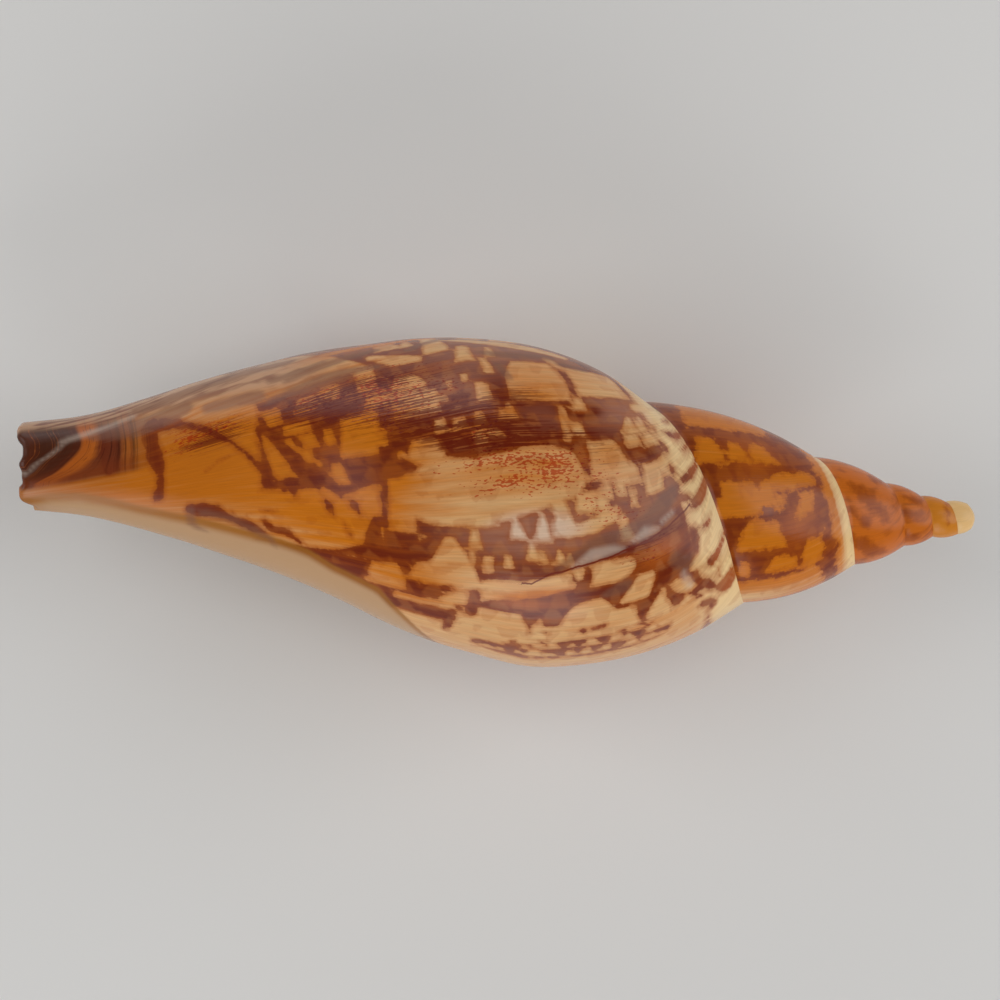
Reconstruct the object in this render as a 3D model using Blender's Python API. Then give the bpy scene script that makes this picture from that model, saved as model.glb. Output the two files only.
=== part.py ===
"""A volute shell: one calcified tube coiled clockwise about its axis, grown as a single piece.

The outer face is a grid over two growth coordinates. One is the turn of growth, counted in
whorls, where turn 0 faces +Y and rising turns pass to the underside (-Z). The other is the row
along the whorl's profile, which runs from the suture over the shoulder to the front end of the
siphonal canal. Each profile is a smooth curve through a few guide points that change with the
turn. Every whorl starts on the suture that the next whorl hides, so the spire closes by itself.
Only the last whorl is hollow: its inner wall, the columella and a deep end wall line the aperture.

Lengths are in millimetres until the mesh is made.
"""

import math

import bpy
import numpy as np

MM = 0.001

# Overall size and growth
LENGTH = 180.0          # along the axis, from the apex to the end of the canal
LIP_TURN = 0.12         # turn of growth at which the outer lip stands
WHORLS = 6              # whorls from the top of the apex to the lip
STEPS_PER_TURN = 36     # columns of the grid in one whorl
HOLLOW_TURNS = 0.75     # how far the aperture reaches back from the lip
CANAL_TURN = -0.38      # turn at which the open canal begins beside the columella

# The suture, one station a turn: (turn, distance from the apex, radius about the axis)
SUTURE = (
    (-7, 0.02, 0.35),
    (-6, 0.26, 1.29),
    (-5, 1.55, 2.80),
    (-4, 5.60, 3.05),
    (-3, 10.5, 4.15),
    (-2, 17.4, 6.60),
    (-1, 31.4, 11.5),
    (-0.5, 44.2, 15.6),
    (0, 64.8, 21.6),
    (1, 106.0, 33.0),
    (2, 160.0, 45.0),
)

# How far the visible part of a whorl stands out from the chord between its two sutures,
# as a share of that chord, and how far the fullest place is moved up to the shoulder
BULGE = ((-7, 0.08), (-4, 0.08), (-2, 0.068), (-1, 0.072), (-0.5, 0.083), (0, 0.108), (1, 0.12))
SHOULDER_SKEW = ((-7, 0.0), (-1, 0.0), (-0.5, 0.05), (0, 0.15), (1, 0.15))
CHORD_POINTS = 3        # guide points on that visible part, between the sutures
SUTURE_SLOPE = 0.85     # how much flatter a whorl starts than it goes on to its first point

# The front part of the profile, from the next suture's line (0) to the canal's end (1)
FRONT_SHARES = (0.12, 0.25, 0.40, 0.55, 0.70, 0.85, 1.0)
FRONT_TURNS = (-2.5, -2.0, -1.5, -1.0, -0.5, 0.0, 0.5)            # turns at which its reach is set
LIP_SIDE_REACH = (32.0, 30.6, 28.1, 25.3, 21.9, 18.9, 17.6)       # turn 0, from the axis to +Y
FAR_SIDE_REACH = (24.8, 20.8, 14.2, 8.6, 3.9, 0.3, -1.5)          # turn -0.5, from the axis to -Y
COLUMELLA_RADIUS = (19.3, 14.0, 9.6, 6.8, 5.0, 3.7, 2.8)          # turn -1, about the columella
COLUMELLA_SHRINK = 0.33  # how much thinner the columella is half a turn earlier, at its back end
LIP_FLARE = 0.8         # how far the wall goes on opening past the lip side, as a share of the turn before

# The canal and the columella's tip lean towards +Y
CANAL_LEAN = (102.0, 152.0, 9.6)        # start, full lean, sideways shift
COLUMELLA_LEAN = (140.0, 175.0, 4.8)
LEAN_TURNS = (-0.9, 0.0)                # turns over which the wall passes from columella to canal

# Folds on the columella
PLAITS = (104.0, 112.0, 119.5, 126.5)   # distance from the apex, at the aperture
PLAIT_HEIGHT = 1.5
PLAIT_TAPER = 0.12                      # how much lower each plait is than the one behind it
PLAIT_WIDTH = 1.5
PLAIT_CLIMB = 40.0                      # how far a plait climbs towards the apex in a turn
PLAIT_TURNS = (-0.76, -0.86)            # the plaits rise over these turns

# The front end of the shell: (turn, width in turns, extra length) of two lobes and a notch
END_LOBES = ((0.03, 0.05, 0.9), (-0.36, 0.08, 0.54), (-0.06, 0.05, -1.0))
LIP_CORNER_CUT = 6.0                    # how far the lip's front corner is rounded back
LIP_CORNER_TURNS = (0.02, 0.14)
UNDERSIDE_CUT = 3.2                     # how much shorter the columella's side is than the canal's
UNDERSIDE_TURNS = (-0.36, -0.66)
UNDERSIDE_START = (-1.3, -0.95)
END_ROWS = 2.0                          # rows at the front over which the end takes its outline

# The wall and its edges
WALL = 2.2
LIP_WALL = 2.8
LIP_WALL_TURNS = 0.15   # the wall thickens over this stretch before the lip
CANAL_THINNING = 0.25   # how much thinner the wall is at the canal's end
THINNING_START = 0.6    # share of the profile at which it begins to thin
CORNER_SHARE = 0.03     # where the aperture's back corner lies, as a share of the front part
CORNER_BLEND = 0.2      # share of the profile over which the inside leaves that corner
SEAM_BLEND = 0.8        # share of the profile from which the inside closes on the columella
SEAM_TURNS = 0.05       # turns over which the canal opens from that seam
DEEP_ROWS = 3.2         # rows by which the hollow ends short of the canal at its deepest
ROUNDING = 0.9          # the rim's swell over half its thickness
ROUNDING_TURNS = 0.12   # turns over which the rim's swell grows from the columella's tip
RIM_BLEND = 3           # points of the rim over which its direction turns the lip's front corner
TIP_HEIGHT = 0.8        # how far the columella's tip is domed
CROWN_SHIFT = 0.15      # the top of the apex lies this share of the first suture off the axis

# The resting plane cuts a hair off the underside, where the whorl and the lip touch down
REST_FLAT = 0.3
LIP_FOOT_SIDE = 12.0    # the lip's foot lies further than this towards +Y

# Rows of the profile: guide points lie at whole rows
SUTURE_ROW = CHORD_POINTS + 1           # the next whorl's suture
CORNER_ROW = SUTURE_ROW + CORNER_SHARE / FRONT_SHARES[0]
LAST_ROW = SUTURE_ROW + len(FRONT_SHARES)

# Fineness of the grid
VISIBLE_ROWS = 6        # rows of the grid between two sutures
FRONT_ROWS = (2, 2, 4, 7, 6, 3, 2)      # rows of the grid in each piece of the front part
RIM_STEPS = 2           # faces across the thickness of the lip
DOME_RINGS = 2          # rings of the columella's tip and of the apex

SHELL_COLOR = (0.42, 0.17, 0.05, 1.0)
SHELL_ROUGHNESS = 0.28


def smooth(value):
    """The smooth step from 0 to 1 over the same range."""
    x = np.clip(value, 0.0, 1.0)
    return x * x * (3.0 - 2.0 * x)


def between(value, limits):
    """The smooth step from 0 at the first limit to 1 at the second."""
    return smooth((value - limits[0]) / (limits[1] - limits[0]))


def through_stations(x, knots, values):
    """A smooth curve through values at knots, read at x; the last axis of values runs along knots.

    Each piece is a cubic whose end slopes are the three-point slopes at its knots.
    """
    knots = np.asarray(knots, float)
    values = np.asarray(values, float)
    gap = np.diff(knots)
    rise = np.diff(values, axis=-1) / gap
    slope = np.empty_like(values)
    slope[..., 1:-1] = (gap[:-1] * rise[..., 1:] + gap[1:] * rise[..., :-1]) / (gap[:-1] + gap[1:])
    slope[..., 0] = rise[..., 0]
    slope[..., -1] = rise[..., -1]
    piece = np.clip(np.searchsorted(knots, x, side="right") - 1, 0, len(gap) - 1)
    f = (x - knots[piece]) / gap[piece]
    return hermite(values[..., piece], values[..., piece + 1],
                   slope[..., piece] * gap[piece], slope[..., piece + 1] * gap[piece], f)


def hermite(start, end, start_slope, end_slope, f):
    """The cubic from start to end with those slopes, at fraction f."""
    return (start * (1 + 2 * f) * (1 - f) ** 2 + end * f * f * (3 - 2 * f)
            + start_slope * f * (1 - f) ** 2 - end_slope * f * f * (1 - f))


def suture(turn):
    """Distance from the apex and radius of the suture at a turn of growth."""
    turns, along, radius = (np.array(column, float) for column in zip(*SUTURE))
    return (np.exp(through_stations(turn, turns, np.log(along))),
            np.exp(through_stations(turn, turns, np.log(radius))))


def stations(table, turn):
    """A smooth curve through a table of (turn, value) pairs."""
    turns, values = zip(*table)
    return through_stations(turn, turns, values)


def lean(along, turn):
    """Sideways shift towards +Y of the circle that the wall follows."""
    canal = CANAL_LEAN[2] * between(along, CANAL_LEAN)
    core = COLUMELLA_LEAN[2] * between(along, COLUMELLA_LEAN)
    return core + (canal - core) * between(turn, LEAN_TURNS)


def front_along(turn, share):
    """Distance from the apex at a turn and a share of the profile's front part."""
    start, _ = suture(turn + 1.0)
    return start + share * (LENGTH - start)


def front_points(turn):
    """Guide points of the front part of the profile at an array of turns: along, radius."""
    lip_turn, far_turn = np.array(0.0), np.array(-0.5)
    points = []
    shapes = zip(FRONT_SHARES, LIP_SIDE_REACH, FAR_SIDE_REACH, COLUMELLA_RADIUS)
    for share, lip_reach, far_reach, core in shapes:
        lip_side = lip_reach - lean(front_along(lip_turn, share), lip_turn)
        far_side = far_reach + lean(front_along(far_turn, share), far_turn)
        shrink = 1.0 - COLUMELLA_SHRINK * (1.0 - share) ** 2
        radius = (core * shrink ** 3, core * shrink ** 2, core * shrink, core,
                  far_side, lip_side, lip_side + LIP_FLARE * (lip_side - far_side))
        points.append((front_along(turn, share), through_stations(turn, FRONT_TURNS, radius)))
    return points


def guide_points(turn):
    """All guide points of the profile at an array of turns, shape (turns, points, 2)."""
    here = np.stack(suture(turn), axis=-1)
    below = np.stack(suture(turn + 1.0), axis=-1)
    chord = below - here
    outward = np.stack((-chord[..., 1], chord[..., 0]), axis=-1)
    height, skew = stations(BULGE, turn), stations(SHOULDER_SKEW, turn)
    points = [here]
    for i in range(1, CHORD_POINTS + 1):
        u = i / (CHORD_POINTS + 1)
        swell = 4.0 * u * (1.0 - u) * height * (1.0 + skew * (1.0 - 2.0 * u))
        points.append(here + chord * u + outward * swell[..., None])
    points.append(below)
    points.extend(np.stack(pair, axis=-1) for pair in front_points(turn))
    return np.stack(points, axis=-2)


def profile(turn, row):
    """Distance from the apex and radius at a turn and a row; both arrays have shape (n, m).

    Row 0 is the suture, CHORD_POINTS + 1 is the next whorl's suture, and each guide point is at
    a whole row. Slopes at the guide points are three-point slopes over the chord lengths.
    """
    points = guide_points(turn[:, 0])
    gap = np.linalg.norm(np.diff(points, axis=1), axis=-1, keepdims=True)
    rise = np.diff(points, axis=1) / gap
    slope = np.empty_like(points)
    weight = gap[:, :-1] + gap[:, 1:]
    slope[:, 1:-1] = (gap[:, :-1] * rise[:, 1:] + gap[:, 1:] * rise[:, :-1]) / weight
    slope[:, 0] = SUTURE_SLOPE * rise[:, 0]
    slope[:, -1] = rise[:, -1]
    piece = np.clip(np.floor(row).astype(int), 0, points.shape[1] - 2)
    line = np.arange(len(turn))[:, None]
    f = (row - piece)[..., None]
    span = gap[line, piece]
    place = hermite(points[line, piece], points[line, piece + 1],
                    slope[line, piece] * span, slope[line, piece + 1] * span, f)
    return place[..., 0], place[..., 1]


def plait_swell(turn, row, along):
    """Height of the columella's folds, which climb towards the apex further inside."""
    inside = between(turn, PLAIT_TURNS) * smooth(row - CORNER_ROW)
    swell = np.zeros_like(along)
    for i, centre in enumerate(PLAITS):
        offset = along - centre - PLAIT_CLIMB * (turn - LIP_TURN + 1.0)
        swell += PLAIT_HEIGHT * (1.0 - PLAIT_TAPER * i) * np.exp(-(offset / PLAIT_WIDTH) ** 2)
    return swell * inside


def end_length(turn):
    """Extra length of the front end at a turn: two lobes, a shallow notch and rounded corners."""
    length = -LIP_CORNER_CUT * between(turn, LIP_CORNER_TURNS)
    length -= UNDERSIDE_CUT * between(turn, UNDERSIDE_TURNS) * between(turn, UNDERSIDE_START)
    for middle, width, height in END_LOBES:
        length = length + height * np.exp(-((turn - middle) / width) ** 2)
    return length


def shell_point(turn, row, inset=0.0):
    """Points of the shell's face, (n, m, 3): X towards the apex, the lip side at +Y.

    A point lies on a circle about the axis, or about the leaning columella or canal, at the
    radius that the profile gives, less the inset.
    """
    along, radius = profile(turn, row)
    radius = radius + plait_swell(turn, row, along) - inset
    centre = lean(along, turn)
    along = along + end_length(turn) * between(row, (LAST_ROW - END_ROWS, LAST_ROW))
    angle = 2.0 * math.pi * turn
    return np.stack((-along, centre + radius * np.cos(angle), -radius * np.sin(angle)), axis=-1)


def grid_rows():
    """Rows of the grid, with the suture and the aperture's corner among them."""
    rows = [SUTURE_ROW * i / VISIBLE_ROWS for i in range(VISIBLE_ROWS)]
    rows += [SUTURE_ROW + (CORNER_ROW - SUTURE_ROW) * i / RIM_STEPS for i in range(RIM_STEPS)]
    start = CORNER_ROW
    for i, count in enumerate(FRONT_ROWS):
        end = SUTURE_ROW + i + 1
        rows += [start + (end - start) * j / count for j in range(count)]
        start = end
    return np.array(rows + [LAST_ROW])


def front_end(turn):
    """The row at which the hollow ends on the columella; it reaches the canal's end at the lip."""
    return LAST_ROW - DEEP_ROWS * np.sqrt(between(turn, (CANAL_TURN, LIP_TURN - HOLLOW_TURNS)))


def inner_face(turn, rows, seam):
    """The inside of the last whorl's wall, from the aperture's corner to the hollow's front end.

    It is the outer face moved in by the wall. At the corner the move turns into one along the
    whorl before, and beside the columella it closes on the seam.
    """
    share = rows / LAST_ROW
    reach = front_end(turn)
    row = share[None, :] * reach[:, None]
    thick = WALL + (LIP_WALL - WALL) * between(turn, (LIP_TURN - LIP_WALL_TURNS, LIP_TURN))
    thick = thick[:, None] * (1.0 - CANAL_THINNING * between(share[None, :], (THINNING_START, 1.0)))
    column = turn[:, None]
    corner = shell_point(column - 1.0, np.full_like(column, CORNER_ROW))
    start = shell_point(column, np.zeros_like(column))
    near = (np.clip(1.0 - share / CORNER_BLEND, 0.0, 1.0) ** 2)[None, :, None]
    face = shell_point(column, row, thick * (1.0 - near[..., 0])) + (corner - start) * near
    pinch = between(turn, (CANAL_TURN + SEAM_TURNS, CANAL_TURN))
    far = between(share[None, :], (SEAM_BLEND, 1.0)) * pinch[:, None]
    return face + (seam[:, None] - face[:, -1:]) * far[..., None]


def seam_row(turn):
    """The row of the whorl before at the same distance from the apex as the hollow's front end."""
    shares = (0.0,) + FRONT_SHARES
    rows = SUTURE_ROW + np.arange(len(shares))
    share = np.interp(front_end(turn), rows, shares)
    start, _ = suture(turn + 1.0)
    before, _ = suture(turn)
    along = start + share * (LENGTH - start)
    return np.interp((along - before) / (LENGTH - before), shares, rows)


class Grid:
    """Points of the whole shell and the faces between them."""

    def __init__(self):
        self.points = []
        self.faces = []
        self.count = 0

    def add(self, points):
        """Adds an array of points and returns their numbers in the same layout."""
        flat = points.reshape(-1, 3)
        numbers = self.count + np.arange(len(flat))
        self.points.append(flat)
        self.count += len(flat)
        return numbers.reshape(points.shape[:-1])

    def sheet(self, numbers, flip=False):
        """Fills a grid of point numbers with quads, facing along column x row unless flipped."""
        quads = np.stack((numbers[:-1, :-1], numbers[1:, :-1], numbers[1:, 1:], numbers[:-1, 1:]),
                         axis=-1).reshape(-1, 4)
        self.faces.extend((quads[:, ::-1] if flip else quads).tolist())

    def dome(self, loop, centre, height):
        """Fills a closed loop of point numbers with rings that rise along X to a rounded top."""
        edge = np.concatenate(self.points)[loop]
        base = np.array((edge[:, 0].mean(),) + tuple(centre))
        for i in range(1, DOME_RINGS + 1):
            inward = i / DOME_RINGS
            ring = base + (edge - base) * (1.0 - inward)
            ring[:, 0] += height * (1.0 - (1.0 - inward) ** 2)
            if i < DOME_RINGS:
                ring = self.add(ring).tolist()
                self.sheet(np.array((loop + loop[:1], ring + ring[:1])))
                loop = ring
        top = int(self.add(ring[:1])[0])
        for here, following in zip(loop, loop[1:] + loop[:1]):
            self.faces.append([top, following, here])

    def zip_lines(self, first, second):
        """Fills between two lines of point numbers that share both of their ends."""
        i = j = 0
        while i < len(first) - 1 or j < len(second) - 1:
            ahead = (i + 1) / (len(first) - 1) <= (j + 1) / (len(second) - 1)
            if ahead or j == len(second) - 1:
                face = [first[i], first[i + 1], second[j]]
                i += 1
            else:
                face = [first[i], second[j + 1], second[j]]
                j += 1
            if len(set(face)) == 3:
                self.faces.append(face)

    def packed(self):
        """The points that faces use, and the faces."""
        points = np.concatenate(self.points)
        used = sorted({number for face in self.faces for number in face})
        place = {number: i for i, number in enumerate(used)}
        return points[used], [[place[number] for number in face] for face in self.faces]


def rim_points(outer, inner, outward, swell):
    """Rounded edge between two lines of points, (points, RIM_STEPS - 1, 3), as full as the swell."""
    half = (outer - inner) / 2.0
    middle = (outer + inner) / 2.0
    size = np.linalg.norm(half, axis=-1, keepdims=True) * swell[:, None]
    angles = math.pi * np.arange(1, RIM_STEPS) / RIM_STEPS
    return np.stack([middle + half * math.cos(a) + outward * size * math.sin(a)
                     for a in angles], axis=1)


def build_grid():
    """The closed grid of the shell, in millimetres, standing on its own axis."""
    grid = Grid()
    rows = grid_rows()
    corner = VISIBLE_ROWS + RIM_STEPS
    columns = WHORLS * STEPS_PER_TURN
    turn = LIP_TURN + (np.arange(columns + 1) - columns) / STEPS_PER_TURN
    face_points = shell_point(turn[:, None], np.broadcast_to(rows, (len(turn), len(rows))))

    # The spire: each whorl's first row is the suture row of the whorl before
    spire_end = columns - STEPS_PER_TURN
    outer = np.full((columns + 1, len(rows)), -1)
    outer[:, 1:VISIBLE_ROWS + 1] = grid.add(face_points[:, 1:VISIBLE_ROWS + 1])
    outer[:STEPS_PER_TURN, 0] = grid.add(face_points[:STEPS_PER_TURN, 0])
    outer[STEPS_PER_TURN:, 0] = outer[:spire_end + 1, VISIBLE_ROWS]
    grid.sheet(outer[:spire_end + 1, :VISIBLE_ROWS + 1])

    # The last whorl runs on to the canal's end
    outer[spire_end:, VISIBLE_ROWS + 1:] = grid.add(face_points[spire_end:, VISIBLE_ROWS + 1:])
    grid.sheet(outer[spire_end:])

    # The columella and the wall of the whorl before, inside the aperture
    depth = round(HOLLOW_TURNS * STEPS_PER_TURN)
    hollow = turn[columns - depth:]
    ends = seam_row(hollow)
    share = (rows[corner:] - CORNER_ROW) / (LAST_ROW - CORNER_ROW)
    core_rows = CORNER_ROW + share[None, :] * (ends[:, None] - CORNER_ROW)
    core_points = shell_point((hollow - 1.0)[:, None], core_rows)
    core = np.empty(core_rows.shape, int)
    core[:-1] = grid.add(core_points[:-1])
    core[-1] = outer[spire_end, corner:]
    grid.sheet(core)

    # The inside of the wall
    lining_points = inner_face(hollow, rows, core_points[:, -1])
    lining = grid.add(lining_points)
    lining[:, 0] = core[:, 0]
    closed = hollow <= CANAL_TURN
    lining[closed, -1] = core[closed, -1]
    grid.sheet(lining, flip=True)
    grid.zip_lines(core[0].tolist(), lining[0].tolist())

    # The rim of the lip and of the canal
    opening = int(np.count_nonzero(closed)) - 1
    canal = slice(columns - depth + opening, columns)
    edge_outer = np.concatenate((outer[-1], outer[canal, -1][::-1]))
    edge_inner = np.concatenate((lining[-1], lining[opening:-1, -1][::-1]))
    everything = np.concatenate(grid.points)
    outer_line, inner_line = everything[edge_outer], everything[edge_inner]
    forward = face_points[-1] - face_points[-2]
    frontward = (face_points[canal, -1] - face_points[canal, -2])[::-1]
    outward = np.concatenate((forward, frontward))
    outward /= np.linalg.norm(outward, axis=-1, keepdims=True)
    turned = outward.copy()
    for shift in range(1, RIM_BLEND + 1):
        turned[shift:] += outward[:-shift]
        turned[:-shift] += outward[shift:]
    turned /= np.linalg.norm(turned, axis=-1, keepdims=True)
    edge_turn = np.concatenate((np.full(len(rows), LIP_TURN), turn[canal][::-1]))
    swell = ROUNDING * between(edge_turn, (CANAL_TURN, CANAL_TURN + ROUNDING_TURNS))
    rim = grid.add(rim_points(outer_line, inner_line, turned, swell))
    rim[0] = outer[spire_end, VISIBLE_ROWS + 1:corner]
    grid.sheet(np.column_stack((edge_outer, rim, edge_inner)), flip=True)

    # The tip of the columella
    tip = outer[spire_end:canal.start + 1, -1].tolist() + rim[-1].tolist()
    tip += core[opening:-1, -1].tolist()
    grid.dome(tip[::-1], (COLUMELLA_LEAN[2], 0.0), -TIP_HEIGHT)

    # The top of the apex
    top = outer[:STEPS_PER_TURN, 0].tolist() + outer[0, VISIBLE_ROWS:0:-1].tolist()
    beside = everything[outer[STEPS_PER_TURN * 3 // 4, 0], 1:]
    grid.dome(top, beside * CROWN_SHIFT, -everything[top, 0].mean())
    return grid.packed()


def rest_height(points):
    """Height of the resting plane: the higher of the lip's lowest point and the whorl's, less a hair."""
    lip_side = points[:, 1] > LIP_FOOT_SIDE
    return max(points[lip_side, 2].min(), points[~lip_side, 2].min()) + REST_FLAT


def finish_material():
    """The shell's glossy orange brown."""
    material = bpy.data.materials.new("glossy_shell")
    material.use_nodes = True
    shader = material.node_tree.nodes["Principled BSDF"]
    shader.inputs["Base Color"].default_value = SHELL_COLOR
    shader.inputs["Roughness"].default_value = SHELL_ROUGHNESS
    shader.inputs["Metallic"].default_value = 0.0
    return material


def main():
    """Builds the shell, laid on its lip and its last whorl, with its origin under its middle."""
    for item in list(bpy.data.objects):
        bpy.data.objects.remove(item)
    points, faces = build_grid()
    floor = rest_height(points)
    points[:, 2] = np.maximum(points[:, 2], floor)
    low, high = points.min(axis=0), points.max(axis=0)
    points -= np.array(((low[0] + high[0]) / 2.0, (low[1] + high[1]) / 2.0, floor))
    mesh = bpy.data.meshes.new("shell")
    mesh.from_pydata((points * MM).tolist(), [], faces)
    mesh.shade_smooth()
    mesh.materials.append(finish_material())
    item = bpy.data.objects.new("shell", mesh)
    bpy.context.scene.collection.objects.link(item)


if __name__ == "__main__":
    main()
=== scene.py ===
"""The looks of a volute shell: its fine form, its markings and its glossy finish, in a plain studio.

The shell is one tube coiled clockwise about its axis. A point of its face has two growth
coordinates: the turn of growth, counted in whorls, and the row along the whorl's profile. Its
markings follow the growth lines, so they are worked out in the same coordinates and kept on the
mesh, where the finish reads them. Lengths are in millimetres until a mesh is made.
"""

from __future__ import annotations

import logging
import math
from dataclasses import dataclass, field

import bpy
import numpy as np
from mathutils import Matrix, Vector


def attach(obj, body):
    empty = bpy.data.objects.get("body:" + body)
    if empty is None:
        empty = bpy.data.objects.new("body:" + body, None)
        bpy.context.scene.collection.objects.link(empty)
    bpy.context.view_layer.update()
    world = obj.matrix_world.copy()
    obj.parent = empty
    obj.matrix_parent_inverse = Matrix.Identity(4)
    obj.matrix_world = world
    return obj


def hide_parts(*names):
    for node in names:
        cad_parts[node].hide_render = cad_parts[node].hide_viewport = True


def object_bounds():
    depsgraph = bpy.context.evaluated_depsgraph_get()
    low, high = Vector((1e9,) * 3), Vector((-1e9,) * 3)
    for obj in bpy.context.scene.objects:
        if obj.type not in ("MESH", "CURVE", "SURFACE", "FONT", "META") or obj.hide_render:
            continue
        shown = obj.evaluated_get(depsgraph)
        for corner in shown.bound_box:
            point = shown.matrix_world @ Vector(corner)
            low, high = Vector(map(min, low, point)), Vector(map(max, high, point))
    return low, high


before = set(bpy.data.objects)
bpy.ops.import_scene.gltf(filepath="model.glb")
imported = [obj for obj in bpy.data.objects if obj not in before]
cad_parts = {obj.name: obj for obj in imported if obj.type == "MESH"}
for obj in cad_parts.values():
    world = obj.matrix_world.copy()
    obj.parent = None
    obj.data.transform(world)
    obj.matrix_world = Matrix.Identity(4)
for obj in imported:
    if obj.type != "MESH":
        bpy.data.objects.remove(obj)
CAD_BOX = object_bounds()

LOG = logging.getLogger("volute_shell")
# A millimetre in metres, a metre in millimetres, and one unit of the growth chart in millimetres
MM = 0.001
METRE = 1000.0
CHART_UNIT = 100.0

Array = np.ndarray
Values = tuple[float, ...]
Table = tuple[Values, ...]
Pair = tuple[float, float]
Triple = tuple[float, float, float]
Tone = tuple[int, int, int]
Ramp = tuple[tuple[float, Tone], ...]
Socket = bpy.types.NodeSocket
Input = Socket | float | Values


def smooth(value: Array) -> Array:
    """The smooth step 3x^2 - 2x^3 of a value held between 0 and 1."""
    x = np.clip(value, 0.0, 1.0)
    return x * x * (3.0 - 2.0 * x)


def between(value: Array, start: float, end: float) -> Array:
    """The smooth step from 0 at the start to 1 at the end."""
    return smooth((value - start) / (end - start))


def hermite(start: Array, end: Array, leave: Array, arrive: Array, f: Array) -> Array:
    """The cubic from start to end that leaves and arrives with those slopes, at fraction f."""
    return (start * (1 + 2 * f) * (1 - f) ** 2 + end * f * f * (3 - 2 * f)
            + leave * f * (1 - f) ** 2 - arrive * f * f * (1 - f))


def through_stations(x: Array, knots: Array, values: Array) -> Array:
    """A smooth curve through values at knots.

    Each piece is a cubic whose end slopes are the three-point slopes at its knots.

    Args:
        x: where to read the curve.
        knots: rising places of the stations.
        values: values at the stations, along the last axis.

    Returns:
        The curve's value at each x.
    """
    knots = np.asarray(knots, float)
    values = np.asarray(values, float)
    gap = np.diff(knots)
    rise = np.diff(values) / gap
    slope = np.empty_like(values)
    slope[1:-1] = (gap[:-1] * rise[1:] + gap[1:] * rise[:-1]) / (gap[:-1] + gap[1:])
    slope[0] = rise[0]
    slope[-1] = rise[-1]
    piece = np.clip(np.searchsorted(knots, x, side="right") - 1, 0, len(gap) - 1)
    f = (x - knots[piece]) / gap[piece]
    return hermite(values[piece], values[piece + 1],
                   slope[piece] * gap[piece], slope[piece + 1] * gap[piece], f)


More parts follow.
